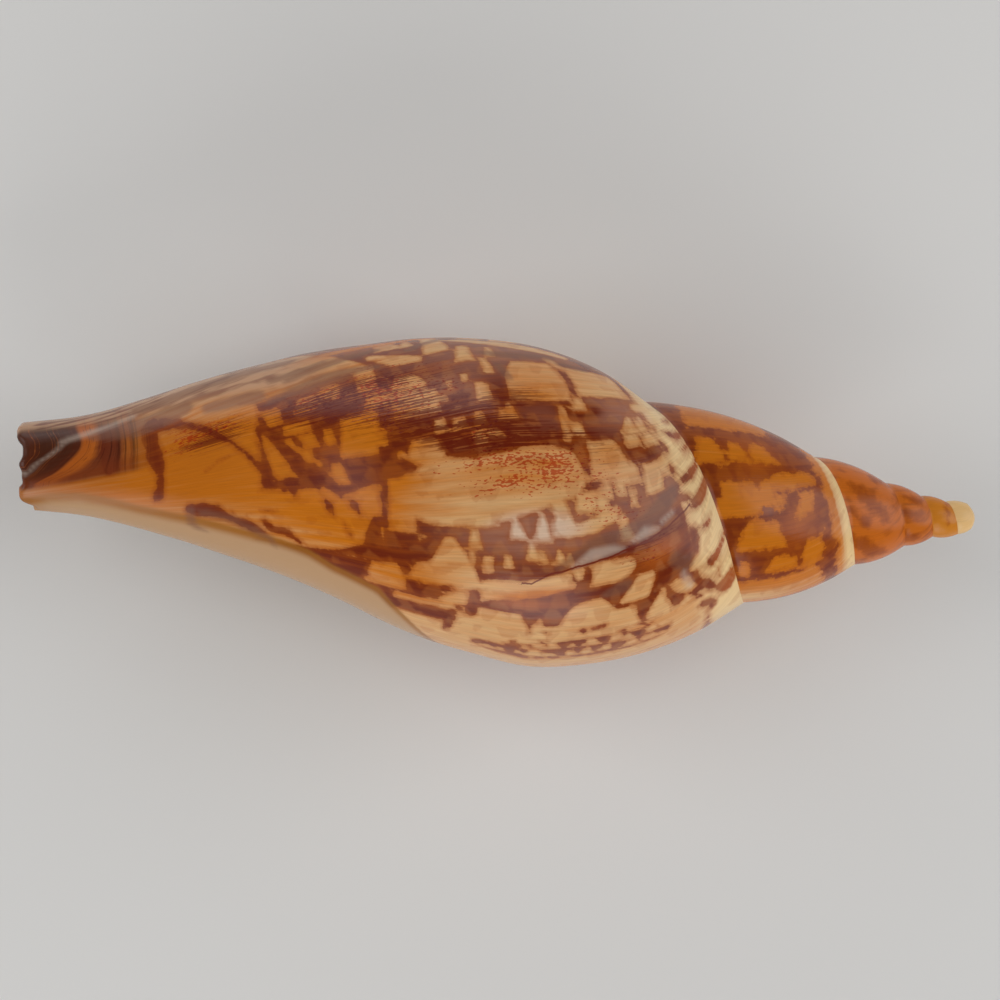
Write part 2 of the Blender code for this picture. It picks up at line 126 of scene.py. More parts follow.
@dataclass(frozen=True)
class Coil:
    """The form of the shell over its growth coordinates, turn and row.

    Turn 0 faces +Y, rising turns pass to the underside, and +X points to the apex. Row 0 of a
    profile is its suture, each guide point lies at a whole row, and the last row is the canal's end.
    """

    length: float = 180.0
    whorls: int = 6
    lip_turn: float = 0.12          # where the last whorl ends, in the outer lip
    hollow_turns: float = 0.75      # how far behind the lip the hollow starts
    canal_turn: float = -0.38       # where the canal opens beside the columella
    # (turn, distance from the apex, radius about the axis) of the suture
    sutures: Table = (
        (-7, 0.02, 0.35), (-6, 0.26, 1.29), (-5, 1.55, 2.80), (-4, 5.60, 3.05), (-3, 10.5, 4.15),
        (-2, 17.4, 6.60), (-1, 31.4, 11.5), (-0.5, 44.2, 15.6), (0, 64.8, 21.6), (1, 106.0, 33.0),
        (2, 160.0, 45.0),
    )
    # (turn, swell of the visible part over its chord) and (turn, how far that moves to the shoulder)
    bulge: Table = (
        (-7, 0.08), (-4, 0.08), (-2, 0.068), (-1, 0.072), (-0.5, 0.083), (0, 0.108), (1, 0.12),
    )
    shoulder_skew: Table = ((-7, 0.0), (-1, 0.0), (-0.5, 0.05), (0, 0.15), (1, 0.15))
    chord_points: int = 3
    suture_slope: float = 0.85
    # The front part of the profile, as shares of the way from the next suture to the canal's end
    front_shares: Values = (0.12, 0.25, 0.40, 0.55, 0.70, 0.85, 1.0)
    front_turns: Values = (-2.5, -2.0, -1.5, -1.0, -0.5, 0.0, 0.5)
    lip_side_reach: Values = (32.0, 30.6, 28.1, 25.3, 21.9, 18.9, 17.6)
    far_side_reach: Values = (24.8, 20.8, 14.2, 8.6, 3.9, 0.3, -1.5)
    columella_radius: Values = (19.3, 14.0, 9.6, 6.8, 5.0, 3.7, 2.8)
    columella_shrink: float = 0.33
    lip_flare: float = 0.8
    # Sideways lean towards +Y: (start along the axis, end, shift)
    canal_lean: Triple = (102.0, 152.0, 9.6)
    columella_lean: Triple = (140.0, 175.0, 4.8)
    lean_turns: Pair = (-0.9, 0.0)
    # Folds on the columella
    plaits: Values = (104.0, 112.0, 119.5, 126.5)
    plait_height: float = 1.5
    plait_taper: float = 0.12
    plait_width: float = 1.5
    plait_climb: float = 40.0
    plait_turns: Pair = (-0.76, -0.86)
    # Outline of the front end: lobes (turn, width in turns, extra length), ripples and cut corners
    end_lobes: Table = (
        (-0.22, 0.2, 1.3), (-0.075, 0.06, 1.05), (-0.36, 0.045, 1.6), (-0.155, 0.03, -0.35),
        (-0.225, 0.03, 0.5), (-0.445, 0.035, -1.2),
    )
    end_ripple: float = 0.08
    ripple_count: int = 17
    ripple_turns: Pair = (-0.5, -0.4)
    lip_corner_cut: float = 6.0
    lip_corner_turns: Pair = (0.02, 0.14)
    underside_cut: float = 3.2
    underside_turns: Pair = (-0.36, -0.66)
    underside_start: Pair = (-1.3, -0.95)
    end_rows: float = 2.0           # rows over which the profile takes up the outline
    # The wall
    wall: float = 2.2
    lip_wall: float = 2.8
    lip_wall_turns: float = 0.15
    canal_thinning: float = 0.25
    thinning_start: float = 0.6
    corner_share: float = 0.03      # the aperture's back corner, as a share of the front part
    corner_blend: float = 0.2       # share of the lining over which it leaves the corner
    seam_blend: float = 0.8         # share of the lining from which it closes on the columella
    seam_turns: float = 0.05
    deep_rows: float = 3.2          # rows by which the hollow falls short of the front end inside

    @property
    def suture_row(self) -> int:
        """The row of the next whorl's suture."""
        return self.chord_points + 1

    @property
    def corner_row(self) -> float:
        """The row at which the aperture's back corner lies."""
        return self.suture_row + self.corner_share / self.front_shares[0]

    @property
    def last_row(self) -> int:
        """The row of the canal's end."""
        return self.suture_row + len(self.front_shares)

    def suture(self, turn: Array) -> tuple[Array, Array]:
        """Distance from the apex and radius of the suture: curves through the stations' logarithms."""
        turns, along, radius = (np.array(column, float) for column in zip(*self.sutures))
        return (np.exp(through_stations(turn, turns, np.log(along))),
                np.exp(through_stations(turn, turns, np.log(radius))))

    def lean(self, along: Array, turn: Array) -> Array:
        """Sideways shift towards +Y of the circle that the wall follows."""
        canal = self.canal_lean[2] * between(along, *self.canal_lean[:2])
        core = self.columella_lean[2] * between(along, *self.columella_lean[:2])
        return core + (canal - core) * between(turn, *self.lean_turns)

    def front_along(self, turn: Array, share: Array) -> Array:
        """Distance from the apex at a share of the profile's front part."""
        start, _ = self.suture(turn + 1.0)
        return start + share * (self.length - start)

    def guide_points(self, turn: Array) -> Array:
        """Guide points of each turn's profile.

        Args:
            turn: turns of growth, shape (n,).

        Returns:
            Distance from the apex and radius, shape (n, points, 2).
        """
        here = np.stack(self.suture(turn), axis=-1)
        below = np.stack(self.suture(turn + 1.0), axis=-1)
        chord = below - here
        outward = np.stack((-chord[..., 1], chord[..., 0]), axis=-1)
        height = through_stations(turn, *zip(*self.bulge))
        skew = through_stations(turn, *zip(*self.shoulder_skew))
        points = [here]
        for u in np.arange(1, self.suture_row) / self.suture_row:
            swell = 4.0 * u * (1.0 - u) * height * (1.0 + skew * (1.0 - 2.0 * u))
            points.append(here + chord * u + outward * swell[..., None])
        points.append(below)
        lip_side_turn, far_side_turn = np.array(0.0), np.array(-0.5)
        shapes = zip(self.front_shares, self.lip_side_reach, self.far_side_reach, self.columella_radius)
        for share, lip_reach, far_reach, core in shapes:
            lip_side = lip_reach - self.lean(self.front_along(lip_side_turn, share), lip_side_turn)
            far_side = far_reach + self.lean(self.front_along(far_side_turn, share), far_side_turn)
            shrink = 1.0 - self.columella_shrink * (1.0 - share) ** 2
            radius = (core * shrink ** 3, core * shrink ** 2, core * shrink, core,
                      far_side, lip_side, lip_side + self.lip_flare * (lip_side - far_side))
            points.append(np.stack((self.front_along(turn, share),
                                    through_stations(turn, self.front_turns, radius)), axis=-1))
        return np.stack(points, axis=-2)

    def profile(self, turn: Array, row: Array) -> tuple[Array, Array]:
        """The profile: cubics between the guide points, over chord length.

        Args:
            turn: turns of growth, shape (n, 1).
            row: rows of the profile, shape (n, m).

        Returns:
            Distance from the apex and radius, each of shape (n, m).
        """
        points = self.guide_points(turn[:, 0])
        gap = np.linalg.norm(np.diff(points, axis=1), axis=-1, keepdims=True)
        rise = np.diff(points, axis=1) / gap
        slope = np.empty_like(points)
        weight = gap[:, :-1] + gap[:, 1:]
        slope[:, 1:-1] = (gap[:, :-1] * rise[:, 1:] + gap[:, 1:] * rise[:, :-1]) / weight
        slope[:, 0] = self.suture_slope * rise[:, 0]
        slope[:, -1] = rise[:, -1]
        piece = np.clip(np.floor(row).astype(int), 0, points.shape[1] - 2)
        line = np.arange(len(turn))[:, None]
        f = (row - piece)[..., None]
        span = gap[line, piece]
        place = hermite(points[line, piece], points[line, piece + 1],
                        slope[line, piece] * span, slope[line, piece + 1] * span, f)
        return place[..., 0], place[..., 1]

    def plait_swell(self, turn: Array, row: Array, along: Array) -> Array:
        """Height of the columella's folds: bell curves that climb towards the apex further inside.

        Args:
            turn: turns of growth, shape (n, 1).
            row: rows of the profile, shape (n, m).
            along: distances from the apex, shape (n, m).

        Returns:
            The height at each point.
        """
        inside = between(turn, *self.plait_turns) * smooth(row - self.corner_row)
        swell = np.zeros_like(along)
        for i, centre in enumerate(self.plaits):
            offset = along - centre - self.plait_climb * (turn - self.lip_turn + 1.0)
            height = self.plait_height * (1.0 - self.plait_taper * i)
            swell += height * np.exp(-(offset / self.plait_width) ** 2)
        return swell * inside

    def end_length(self, turn: Array) -> Array:
        """Extra length of the front end, less at its corners.

        It is the sum of the lobes' bell curves and of ripple x sin(2 pi count turn), where the
        ripples die out towards the columella.

        Args:
            turn: turns of growth.

        Returns:
            The extra length at each turn.
        """
        length = -self.lip_corner_cut * between(turn, *self.lip_corner_turns)
        length = length - (self.underside_cut * between(turn, *self.underside_turns)
                           * between(turn, *self.underside_start))
        for middle, width, height in self.end_lobes:
            length = length + height * np.exp(-((turn - middle) / width) ** 2)
        ripple = self.end_ripple * between(turn, *self.ripple_turns)
        return length + ripple * np.sin(2.0 * math.pi * self.ripple_count * turn)

    def point(self, turn: Array, row: Array, inset: Array | float = 0.0) -> Array:
        """Points of the face, moved in by the inset.

        A point lies on a circle about the axis, or about the leaning columella or canal:
        (-along, centre + radius cos(turn), -radius sin(turn)).

        Args:
            turn: turns of growth, shape (n, 1).
            row: rows of the profile, shape (n, m).
            inset: depth below the face.

        Returns:
            Points of shape (n, m, 3).
        """
        along, radius = self.profile(turn, row)
        radius = radius + self.plait_swell(turn, row, along) - inset
        centre = self.lean(along, turn)
        along = along + self.end_length(turn) * between(row, self.last_row - self.end_rows, self.last_row)
        angle = 2.0 * math.pi * turn
        return np.stack((-along, centre + radius * np.cos(angle), -radius * np.sin(angle)), axis=-1)

    def hollow_end(self, turn: Array) -> Array:
        """The row at which the hollow ends beside the columella."""
        deep = between(turn, self.canal_turn, self.lip_turn - self.hollow_turns)
        return self.last_row - self.deep_rows * np.sqrt(deep)

    def seam_row(self, turn: Array) -> Array:
        """The row of the whorl before that is as far along as the hollow's front end.

        Args:
            turn: turns of growth, shape (n,).

        Returns:
            A row for each turn.
        """
        shares = np.array((0.0,) + self.front_shares)
        rows = self.suture_row + np.arange(len(shares))
        share = np.interp(self.hollow_end(turn), rows, shares)
        before, _ = self.suture(turn)
        return np.interp((self.front_along(turn, share) - before) / (self.length - before), shares, rows)

    def lining(self, turn: Array, rows: Array, seam: Array) -> Array:
        """The inside of the last whorl's wall, from the aperture's corner to the hollow's front end.

        It is the face moved in by the wall. At the corner the move turns into one along the whorl
        before, and beside the columella it closes on the seam.

        Args:
            turn: turns of growth, shape (n,).
            rows: rows of the face at the lip, shape (m,).
            seam: points on the columella where the inside closes, shape (n, 3).

        Returns:
            Points of shape (n, m, 3).
        """
        share = rows / self.last_row
        row = share[None, :] * self.hollow_end(turn)[:, None]
        thick = self.wall + (self.lip_wall - self.wall) * between(
            turn, self.lip_turn - self.lip_wall_turns, self.lip_turn)
        thin = 1.0 - self.canal_thinning * between(share, self.thinning_start, 1.0)
        column = turn[:, None]
        corner = self.point(column - 1.0, np.full_like(column, self.corner_row))
        start = self.point(column, np.zeros_like(column))
        near = (np.clip(1.0 - share / self.corner_blend, 0.0, 1.0) ** 2)[None, :]
        inset = thick[:, None] * thin[None, :] * (1.0 - near)
        face = self.point(column, row, inset) + (corner - start) * near[..., None]
        pinch = between(turn, self.canal_turn + self.seam_turns, self.canal_turn)
        far = between(share, self.seam_blend, 1.0)[None, :] * pinch[:, None]
        return face + (seam[:, None] - face[:, -1:]) * far[..., None]


@dataclass
class Patchwork:
    """Points of a closed mesh, its faces, and the chart values at each face's corners."""

    points: list[Array] = field(default_factory=list)
    faces: list[Array] = field(default_factory=list)
    charts: list[Array] = field(default_factory=list)
    count: int = 0

    def add(self, points: Array) -> Array:
        """Adds an array of points.

        Args:
            points: the points, shape (..., 3).

        Returns:
            Their numbers, in the same layout.
        """
        flat = points.reshape(-1, 3)
        numbers = self.count + np.arange(len(flat))
        self.points.append(flat)
        self.count += len(flat)
        return numbers.reshape(points.shape[:-1])

    def sheet(self, numbers: Array, chart: Array, flip: bool = False) -> None:
        """Fills a grid of point numbers with quads.

        Args:
            numbers: point numbers, shape (n, m).
            chart: chart values of the same points, shape (n, m, values).
            flip: turns the faces round.
        """
        start, end = slice(None, -1), slice(1, None)
        corners = ((start, start), (end, start), (end, end), (start, end))
        order = corners[::-1] if flip else corners
        self.faces.append(np.stack([numbers[c] for c in order], axis=-1).reshape(-1, 4))
        self.charts.append(np.stack([chart[c] for c in order], axis=-2).reshape(-1, 4, chart.shape[-1]))

    def zip_lines(self, first: Array, second: Array, first_chart: Array, second_chart: Array) -> None:
        """Fills between two lines of points with triangles, taking the nearer step each time.

        Each line's steps are laid out evenly over the same length. A step of the first makes a
        triangle with the point that the second has reached, and the other way round. Triangles
        on an end that both lines share are left out.

        Args:
            first: point numbers of the first line.
            second: point numbers of the second line.
            first_chart: chart values of the first line.
            second_chart: chart values of the second line.
        """
        first_key = np.arange(1, len(first)) / (len(first) - 1)
        second_key = np.arange(1, len(second)) / (len(second) - 1)
        i, j = np.arange(len(first) - 1), np.searchsorted(second_key, first_key, side="left")
        m, k = np.arange(len(second) - 1), np.searchsorted(first_key, second_key, side="right")
        faces = np.concatenate((np.stack((first[i], first[i + 1], second[j]), axis=-1),
                                np.stack((first[k], second[m + 1], second[m]), axis=-1)))
        charts = np.concatenate((np.stack((first_chart[i], first_chart[i + 1], second_chart[j]), axis=1),
                                 np.stack((first_chart[k], second_chart[m + 1], second_chart[m]), axis=1)))
        real = (faces[:, 0] != faces[:, 1]) & (faces[:, 1] != faces[:, 2]) & (faces[:, 0] != faces[:, 2])
        self.faces.append(faces[real])
        self.charts.append(charts[real])

    def dome(self, loop: Array, chart: Array, centre: Pair, height: float, rings: int) -> None:
        """Fills a closed loop with rings that shrink evenly and rise along X to a rounded top.

        At a share s of the way in, a ring stands height x (1 - (1 - s)^2) over the loop's plane.

        Args:
            loop: point numbers round the loop.
            chart: chart values of the loop's points.
            centre: Y and Z of the top.
            height: rise along X.
            rings: rings between the loop and the top, the top included.
        """
        edge = np.concatenate(self.points)[loop]
        base = np.array((edge[:, 0].mean(), *centre))
        share = np.arange(1, rings) / rings
        ring = base + (edge - base)[None] * (1.0 - share)[:, None, None]
        ring[..., 0] += (height * (1.0 - (1.0 - share) ** 2))[:, None]
        numbers = np.concatenate((loop[None], self.add(ring)))
        numbers = np.concatenate((numbers, numbers[:, :1]), axis=1)
        chart = np.concatenate((chart, chart[:1]))
        self.sheet(numbers, np.broadcast_to(chart, numbers.shape + chart.shape[-1:]))
        top = self.add((base + np.array((height, 0.0, 0.0)))[None])[0]
        last = numbers[-1]
        self.faces.append(np.stack((np.full(len(last) - 1, top), last[1:], last[:-1]), axis=-1))
        self.charts.append(np.stack((chart[:-1], chart[1:], chart[:-1]), axis=1))

    def mesh(self, name: str, layers: tuple[str, ...]) -> bpy.types.Mesh:
        """Makes the mesh, in metres, with the chart values as face-corner attributes.

        The first two chart values become the UV map "growth". Each other one becomes a number
        at the face corners under its layer's name.

        Args:
            name: the mesh's name.
            layers: names of the chart values after the first two.

        Returns:
            The mesh, smoothly shaded.
        """
        points = np.concatenate(self.points) * MM
        used, faces = np.unique(np.concatenate([f.reshape(-1) for f in self.faces]), return_inverse=True)
        sizes = np.concatenate([np.full(len(f), f.shape[1]) for f in self.faces])
        chart = np.concatenate([c.reshape(-1, c.shape[-1]) for c in self.charts])
        mesh = bpy.data.meshes.new(name)
        mesh.vertices.add(len(used))
        mesh.vertices.foreach_set("co", points[used].astype(np.float32).reshape(-1))
        mesh.loops.add(len(faces))
        mesh.loops.foreach_set("vertex_index", faces.astype(np.int32).reshape(-1))
        mesh.polygons.add(len(sizes))
        mesh.polygons.foreach_set("loop_start", (np.cumsum(sizes) - sizes).astype(np.int32))
        mesh.update(calc_edges=True)
        growth = mesh.uv_layers.new(name="growth")
        growth.data.foreach_set("uv", chart[:, :2].astype(np.float32).reshape(-1))
        for i, layer in enumerate(layers):
            values = mesh.attributes.new(layer, "FLOAT", "CORNER")
            values.data.foreach_set("value", chart[:, 2 + i].astype(np.float32).copy())
        mesh.validate()
        mesh.shade_smooth()
        return mesh


@dataclass(frozen=True)
class Strewn:
    """Tents strewn in rows along the growth lines, by random numbers of their own."""

    seed: int
    lines: Pair                     # first and last growth line
    pitch: float                    # turns between rows
    span: Pair                      # distances from the apex between which they lie
    spacing: float                  # usual distance between neighbours
    height: float                   # usual height in turns
    shift: float = 0.35             # most sideways shift, over the spacing
    half: Pair = (0.25, 0.62)       # half width of the base, over the spacing
    lift: float = 0.12              # most shift of the base, over the pitch
    slant: Pair = (-0.1, 0.25)      # shift of the tip, over the spacing
    rise: Pair = (0.45, 1.2)        # height over the usual height
    taper: Pair = (0.1, 0.5)        # half width of the tip over the base's
    roundness: Values = (1.0, 1.0, 2.0)

    def tents(self) -> list[Values]:
        """The tents, each a patch of the markings."""
        dice = np.random.default_rng(self.seed)
        tents = []
        for base in np.arange(*self.lines, self.pitch):
            places = np.arange(*self.span, self.spacing)
            for place in places + dice.uniform(-self.shift, self.shift, len(places)) * self.spacing:
                half = self.spacing * dice.uniform(*self.half)
                low = base + self.pitch * dice.uniform(-self.lift, self.lift)
                tip = place + dice.uniform(*self.slant) * self.spacing
                high = low + self.height * dice.uniform(*self.rise)
                tents.append((place, low, half, tip, high, half * dice.uniform(*self.taper),
                              dice.choice(self.roundness)))
        return tents


@dataclass(frozen=True)
class Spots:
    """Places on the shell's face, as arrays over one grid of shape (n, m)."""

    turn: Array         # turn of growth, shape (n, 1)
    along: Array        # distance from the apex
    line: Array         # growth line
    radius: Array       # about the axis
    girth: Array        # millimetres in one turn
    from_suture: Array  # distance from the suture along the axis
    body: Array         # whether it is on the last whorl


@dataclass(frozen=True)
class Markings:
    """Where the shell is pale, brown, glazed or worn, over its growth coordinates.

    Places on the shell are given by the distance from the apex and the growth line, in turns,
    that passes through them. Sizes along the shell are in millimetres.
    """

    coil: Coil = Coil()
    layers: tuple[str, ...] = (
        "pale", "faint", "specks", "crack", "warm", "dull_and_sheen", "pits", "lines", "gloss", "grey", "strip",
        "glaze", "canal_bands", "crown",
    )
    reach: float = 3.0              # the greatest depth that is kept
    # Growth lines lean back near the suture and forward near the canal
    suture_bend: float = 0.095
    suture_fade: float = 1.14
    canal_bend: float = 0.00003
    canal_bend_start: float = 95.0
    line_shift: Pair = (0.27, 0.12)
    # The pale band under the suture: its width, at this radius
    suture_band: Pair = (8.0, 25.0)
    # The strip between the lip and the glaze
    strip_turns: Pair = (-0.105, -0.06)
    strip_along: Pair = (118.0, 136.0)
    # The first whorls are plain but for a part on their hidden side
    early_end: float = -2.0
    early_mottled: Pair = (-3.0, -2.5)
    # At the front end growth lines swing forward below the lip: start, turns and rise
    arc_start: float = 0.03
    arc_turns: float = 0.12
    arc_rise: float = 8.0
    arc_along: Pair = (163.0, 178.0)
    # Usual tints, and how much each falls near the suture: amount, where it starts, where it is full
    warmth: float = 0.3
    body_cooling: Triple = (1.3, 10.0, 3.0)
    spire_cooling: Triple = (1.7, 2.6, 1.0)
    dullness: float = 0.05
    body_clearing: Triple = (0.8, 7.0, 2.0)
    spire_clearing: float = 0.3

    # Strewn tents: on the hidden side, beside the lip, on the pale underside, faint ones and specks
    drawn_from: float = -0.47
    hidden_tents: Strewn = Strewn(5, (-1.0, -0.45), 0.066, (50.0, 135.0), 6.5, 0.055)
    lip_tents: Strewn = Strewn(9, (-0.02, 0.2), 0.043, (60.0, 117.0), 5.0, 0.036)
    low_tents: Strewn = Strewn(11, (-0.46, -0.39), 0.0165, (60.0, 104.0), 3.4, 0.0135)
    faint_tents: tuple[Strewn, ...] = (
        Strewn(3, (-1.0, 0.12), 0.021, (48.0, 142.0), 3.8, 0.02),
        Strewn(4, (-2.0, -0.9), 0.04, (26.0, 66.0), 3.0, 0.035),
        Strewn(6, (-0.06, 0.2), 0.04, (118.0, 176.0), 7.0, 0.03),
    )
    speck_tents: tuple[Strewn, ...] = (
        Strewn(7, (-1.0, 0.12), 0.027, (48.0, 142.0), 4.6, -0.02),
        Strewn(8, (-2.0, -0.9), 0.05, (26.0, 66.0), 3.4, -0.035),
    )
    # The two whorls before the last: where theirs lie, from each whorl's own turn, and their sizes
    spire_drawn: Pair = (-1.47, -1.0)
    spire_reach: Pair = (-0.9, 0.6)
    spire_lines: Pair = (-0.9, 0.15)
    spire_seed: int = 20
    spire_pitch: float = 0.1
    spire_count: float = 5.0
    spire_height: float = 0.075

    # Patches: (along, line, half width) of the base and of the tip, and the roundness of rounded sides
    pale_ground: Table = (
        (166, -0.7, 26.5, 166, 0.25, 26.5), (130.5, -0.306, 13, 132, -0.206, 13),
        (147, -0.048, 29, 160, 0.06, 29), (160, 0.05, 29, 166, 0.3, 29), (85, -0.52, 32, 85, -0.392, 29),
        (112, -0.5, 12, 107, -0.385, 7),
    )
    # Pale belts and brown strokes: points (along, line, half width) of their paths
    pale_belts: tuple[Table, ...] = (
        ((111.2, -0.217, 4.8), (108, -0.217, 6.1), (102, -0.223, 6.2), (97, -0.22, 6.2), (92, -0.213, 5.9),
         (88, -0.21, 5.2), (86, -0.211, 4.6)),
        ((105.5, -0.343, 1.6), (102.5, -0.339, 1.9), (99, -0.328, 2.2), (94, -0.326, 1.9),
         (89, -0.322, 1.7), (84, -0.315, 1.7), (79, -0.312, 2.2), (75, -0.311, 2.3), (73.5, -0.309, 1.8)),
        ((101.5, -0.02, 0.7), (97, -0.029, 1.3), (91, -0.036, 1.9), (85.5, -0.045, 1.6), (81, -0.055, 1)),
        ((85, -0.068, 0.7), (83.9, -0.076, 0.8), (82.8, -0.087, 0.3)),
        ((117, -0.03, 1), (113.5, -0.045, 1.9), (109.5, -0.052, 1.2)),
        ((128, 0.014, 0.9), (112, 0.008, 1.3), (96, 0, 0.8)),
        ((69.5, -0.14, 1), (66, -0.143, 1.7), (63, -0.149, 2), (60, -0.156, 1.6)),
        ((66.8, -0.168, 1), (64.5, -0.18, 1.9), (62, -0.2, 2.6), (59.8, -0.22, 2.7), (57.5, -0.24, 2.2)),
        ((61.8, -0.172, 1.2), (60, -0.185, 1.9), (58, -0.2, 1.5)),
        ((85, -0.267, 0.9), (80, -0.261, 1.4), (76, -0.252, 1.2)),
        ((62.5, -0.232, 0.9), (61.5, -0.245, 0.7)), ((65.5, -0.215, 1.2), (64.8, -0.225, 1)),
        ((58.5, -0.256, 1.6), (57, -0.268, 2.3), (55, -0.272, 1.8)),
        ((57.5, -0.306, 1.6), (56.5, -0.325, 2.8), (55, -0.35, 2.6)), ((57.5, -0.345, 2), (59, -0.345, 1)),
        ((62.8, -0.352, 0.7), (61, -0.362, 1.2), (59.5, -0.376, 0.9)),
        ((62, -0.392, 1.1), (58, -0.402, 1.3)), ((56, -0.4, 1.6), (52.5, -0.42, 2.4)),
    )
    tents: Table = (
        # beside the front strokes
        (134.9, -0.19, 1.9, 138.8, -0.113, 0.4), (132.8, -0.12, 2.4, 132.8, -0.104, 2.2),
        (130.6, -0.147, 1.6, 131.2, -0.126, 1.2), (133.2, -0.15, 1, 134.6, -0.128, 0.5),
        (130.9, -0.166, 0.8, 131.6, -0.148, 1), (128.2, -0.19, 0.45, 129.3, -0.168, 0.4),
        (127.2, -0.147, 0.8, 127.4, -0.125, 0.6), (122.3, -0.168, 3.3, 121.6, -0.116, 3.2),
        (118.6, -0.16, 1.2, 118.6, -0.143, 1.2), (125.3, -0.207, 1.5, 126.4, -0.173, 0.8),
        (136.4, -0.098, 1.2, 137.2, -0.07, 1.5), (131, -0.09, 2, 130.5, -0.068, 1.6),
        (126.5, -0.085, 1.6, 126, -0.06, 1.5), (119.5, -0.085, 1.6, 119.3, -0.045, 1.8),
        (118.5, -0.112, 2, 118, -0.09, 1.8), (114.8, -0.262, 2.3, 115.2, -0.2, 2.2),
        # under the shoulder
        (111.5, -0.131, 4, 111.5, -0.104, 4), (107.4, -0.121, 1.5, 107.4, -0.114, 1.2),
        (97.2, -0.095, 0.9, 97.6, -0.07, 0.6), (88.5, -0.132, 5.8, 88.9, -0.077, 3.4, 3),
        (71.5, -0.188, 1.7, 71.5, -0.175, 1.4), (67.6, -0.192, 1.6, 67.8, -0.177, 1.1),
        (99, -0.13, 1.4, 99.3, -0.108, 0.9), (104.9, -0.108, 0.5, 104.9, -0.098, 0.4),
        (102, -0.103, 0.6, 102, -0.094, 0.4), (96.4, -0.155, 0.8, 96.6, -0.141, 0.2),
        (94.6, -0.155, 1.3, 94.9, -0.137, 0.3), (100.4, -0.158, 1.3, 100.6, -0.142, 0.5),
        (104.2, -0.157, 1.3, 104.3, -0.144, 0.8), (107.6, -0.156, 1.4, 107.8, -0.141, 0.7),
        (100.8, -0.175, 1.1, 101, -0.161, 1), (97.8, -0.172, 1.6, 98.5, -0.163, 1.2),
        (110.5, -0.187, 3.3, 111, -0.16, 2, 2), (114.8, -0.186, 0.8, 114.8, -0.171, 0.5),
        (84.6, -0.178, 0.7, 84.8, -0.14, 0.6), (75.5, -0.126, 5.3, 77.5, -0.083, 4.6),
        (81.4, -0.144, 1.5, 81.2, -0.125, 0.2), (82.3, -0.172, 1.3, 82.3, -0.158, 0.9),
        (72.3, -0.173, 1.7, 71.6, -0.153, 0.4), (69.2, -0.174, 1.5, 69.4, -0.155, 0.4),
        (112.3, -0.1, 3.4, 112.4, -0.077, 1.6, 2), (105.3, -0.048, 2.4, 105, -0.02, 1.6, 2),
        (101, -0.073, 1.8, 100.2, -0.042, 1), (96, -0.068, 0.9, 95.5, -0.046, 0.5),
        # right of the belt
        (76.2, -0.218, 4.4, 78, -0.179, 2.6), (73.2, -0.226, 2.9, 73.5, -0.206, 2),
        (81.5, -0.249, 2.1, 81.5, -0.229, 2), (77.2, -0.238, 0.8, 77.5, -0.21, 0.7),
        (67.8, -0.242, 1.9, 68, -0.21, 1.9), (87.4, -0.246, 0.9, 87.4, -0.23, 0.7),
        # the purple band
        (99.4, -0.258, 1.5, 99.4, -0.247, 1.2), (94.3, -0.271, 1.6, 95.3, -0.249, 0.3),
        (89.8, -0.275, 1.8, 90.1, -0.246, 0.3), (102, -0.281, 1.3, 102.3, -0.26, 0.4),
        (95.8, -0.301, 0.8, 96, -0.288, 0.5), (91.4, -0.293, 1.3, 91.9, -0.272, 0.3),
        (85.3, -0.27, 2.6, 87, -0.229, 0.4), (78.2, -0.258, 1.7, 78.7, -0.223, 0.4),
        (74.7, -0.236, 1, 74.7, -0.222, 0.6), (72, -0.25, 0.8, 72.3, -0.23, 0.3),
        (71.3, -0.226, 0.5, 71.3, -0.216, 0.4), (73.4, -0.281, 1.3, 74.6, -0.256, 0.7),
        (86.3, -0.298, 0.9, 86.6, -0.283, 0.3), (84.4, -0.3, 0.8, 84.8, -0.287, 0.3),
        (89.3, -0.296, 0.7, 89.6, -0.284, 0.3),
        # the large tent and its neighbours
        (105.2, -0.332, 5.4, 106.6, -0.268, 0.7, 1.5), (109.8, -0.323, 3, 110.8, -0.296, 0.5, 1.5),
        (116.4, -0.345, 3.4, 117, -0.302, 1.6, 2), (114.2, -0.301, 0.7, 114.4, -0.281, 0.2),
        (111.2, -0.278, 0.6, 111.2, -0.266, 0.5), (118.6, -0.282, 0.7, 118.6, -0.266, 0.5),
        (102.3, -0.297, 0.5, 102.4, -0.283, 0.5), (99.3, -0.307, 1, 99.5, -0.29, 0.7),
        (110, -0.361, 4.6, 110.5, -0.35, 4), (105.3, -0.36, 1.4, 105.6, -0.345, 1.2),
        # domes under the lower band
        (97, -0.402, 7, 97.5, -0.354, 4.6, 3), (80.5, -0.4, 9.3, 80.5, -0.372, 9.3),
        (79, -0.376, 5.6, 79.4, -0.34, 2, 2), (88.9, -0.38, 1.2, 88.5, -0.36, 0.4),
        (72.5, -0.4, 4, 73.5, -0.358, 2.2, 2), (65, -0.42, 3.2, 65.5, -0.37, 1.8, 2),
        (71, -0.352, 2.9, 69, -0.322, 1.5, 1.5), (66, -0.375, 1.7, 65.2, -0.35, 0.4),
        (70.8, -0.376, 1, 70.8, -0.36, 0.4),
        # the last whorl but one
        (54.5, -1.165, 3, 55.5, -1.118, 1.6, 1.5), (49, -1.16, 2.5, 50, -1.125, 1),
        (44, -1.16, 3, 45.5, -1.12, 1.2), (49.6, -1.25, 5, 49.6, -1.195, 3.5),
        (44.6, -1.235, 2.6, 44.6, -1.19, 1.2), (38.6, -1.21, 5, 39, -1.18, 4.2),
        (36.6, -1.26, 2, 36, -1.22, 1.5), (41.5, -1.245, 0.8, 41.5, -1.215, 0.8),
        (45.2, -1.308, 4.8, 45.5, -1.258, 2.2, 2), (40.5, -1.36, 3.2, 40.4, -1.328, 1.4, 2),
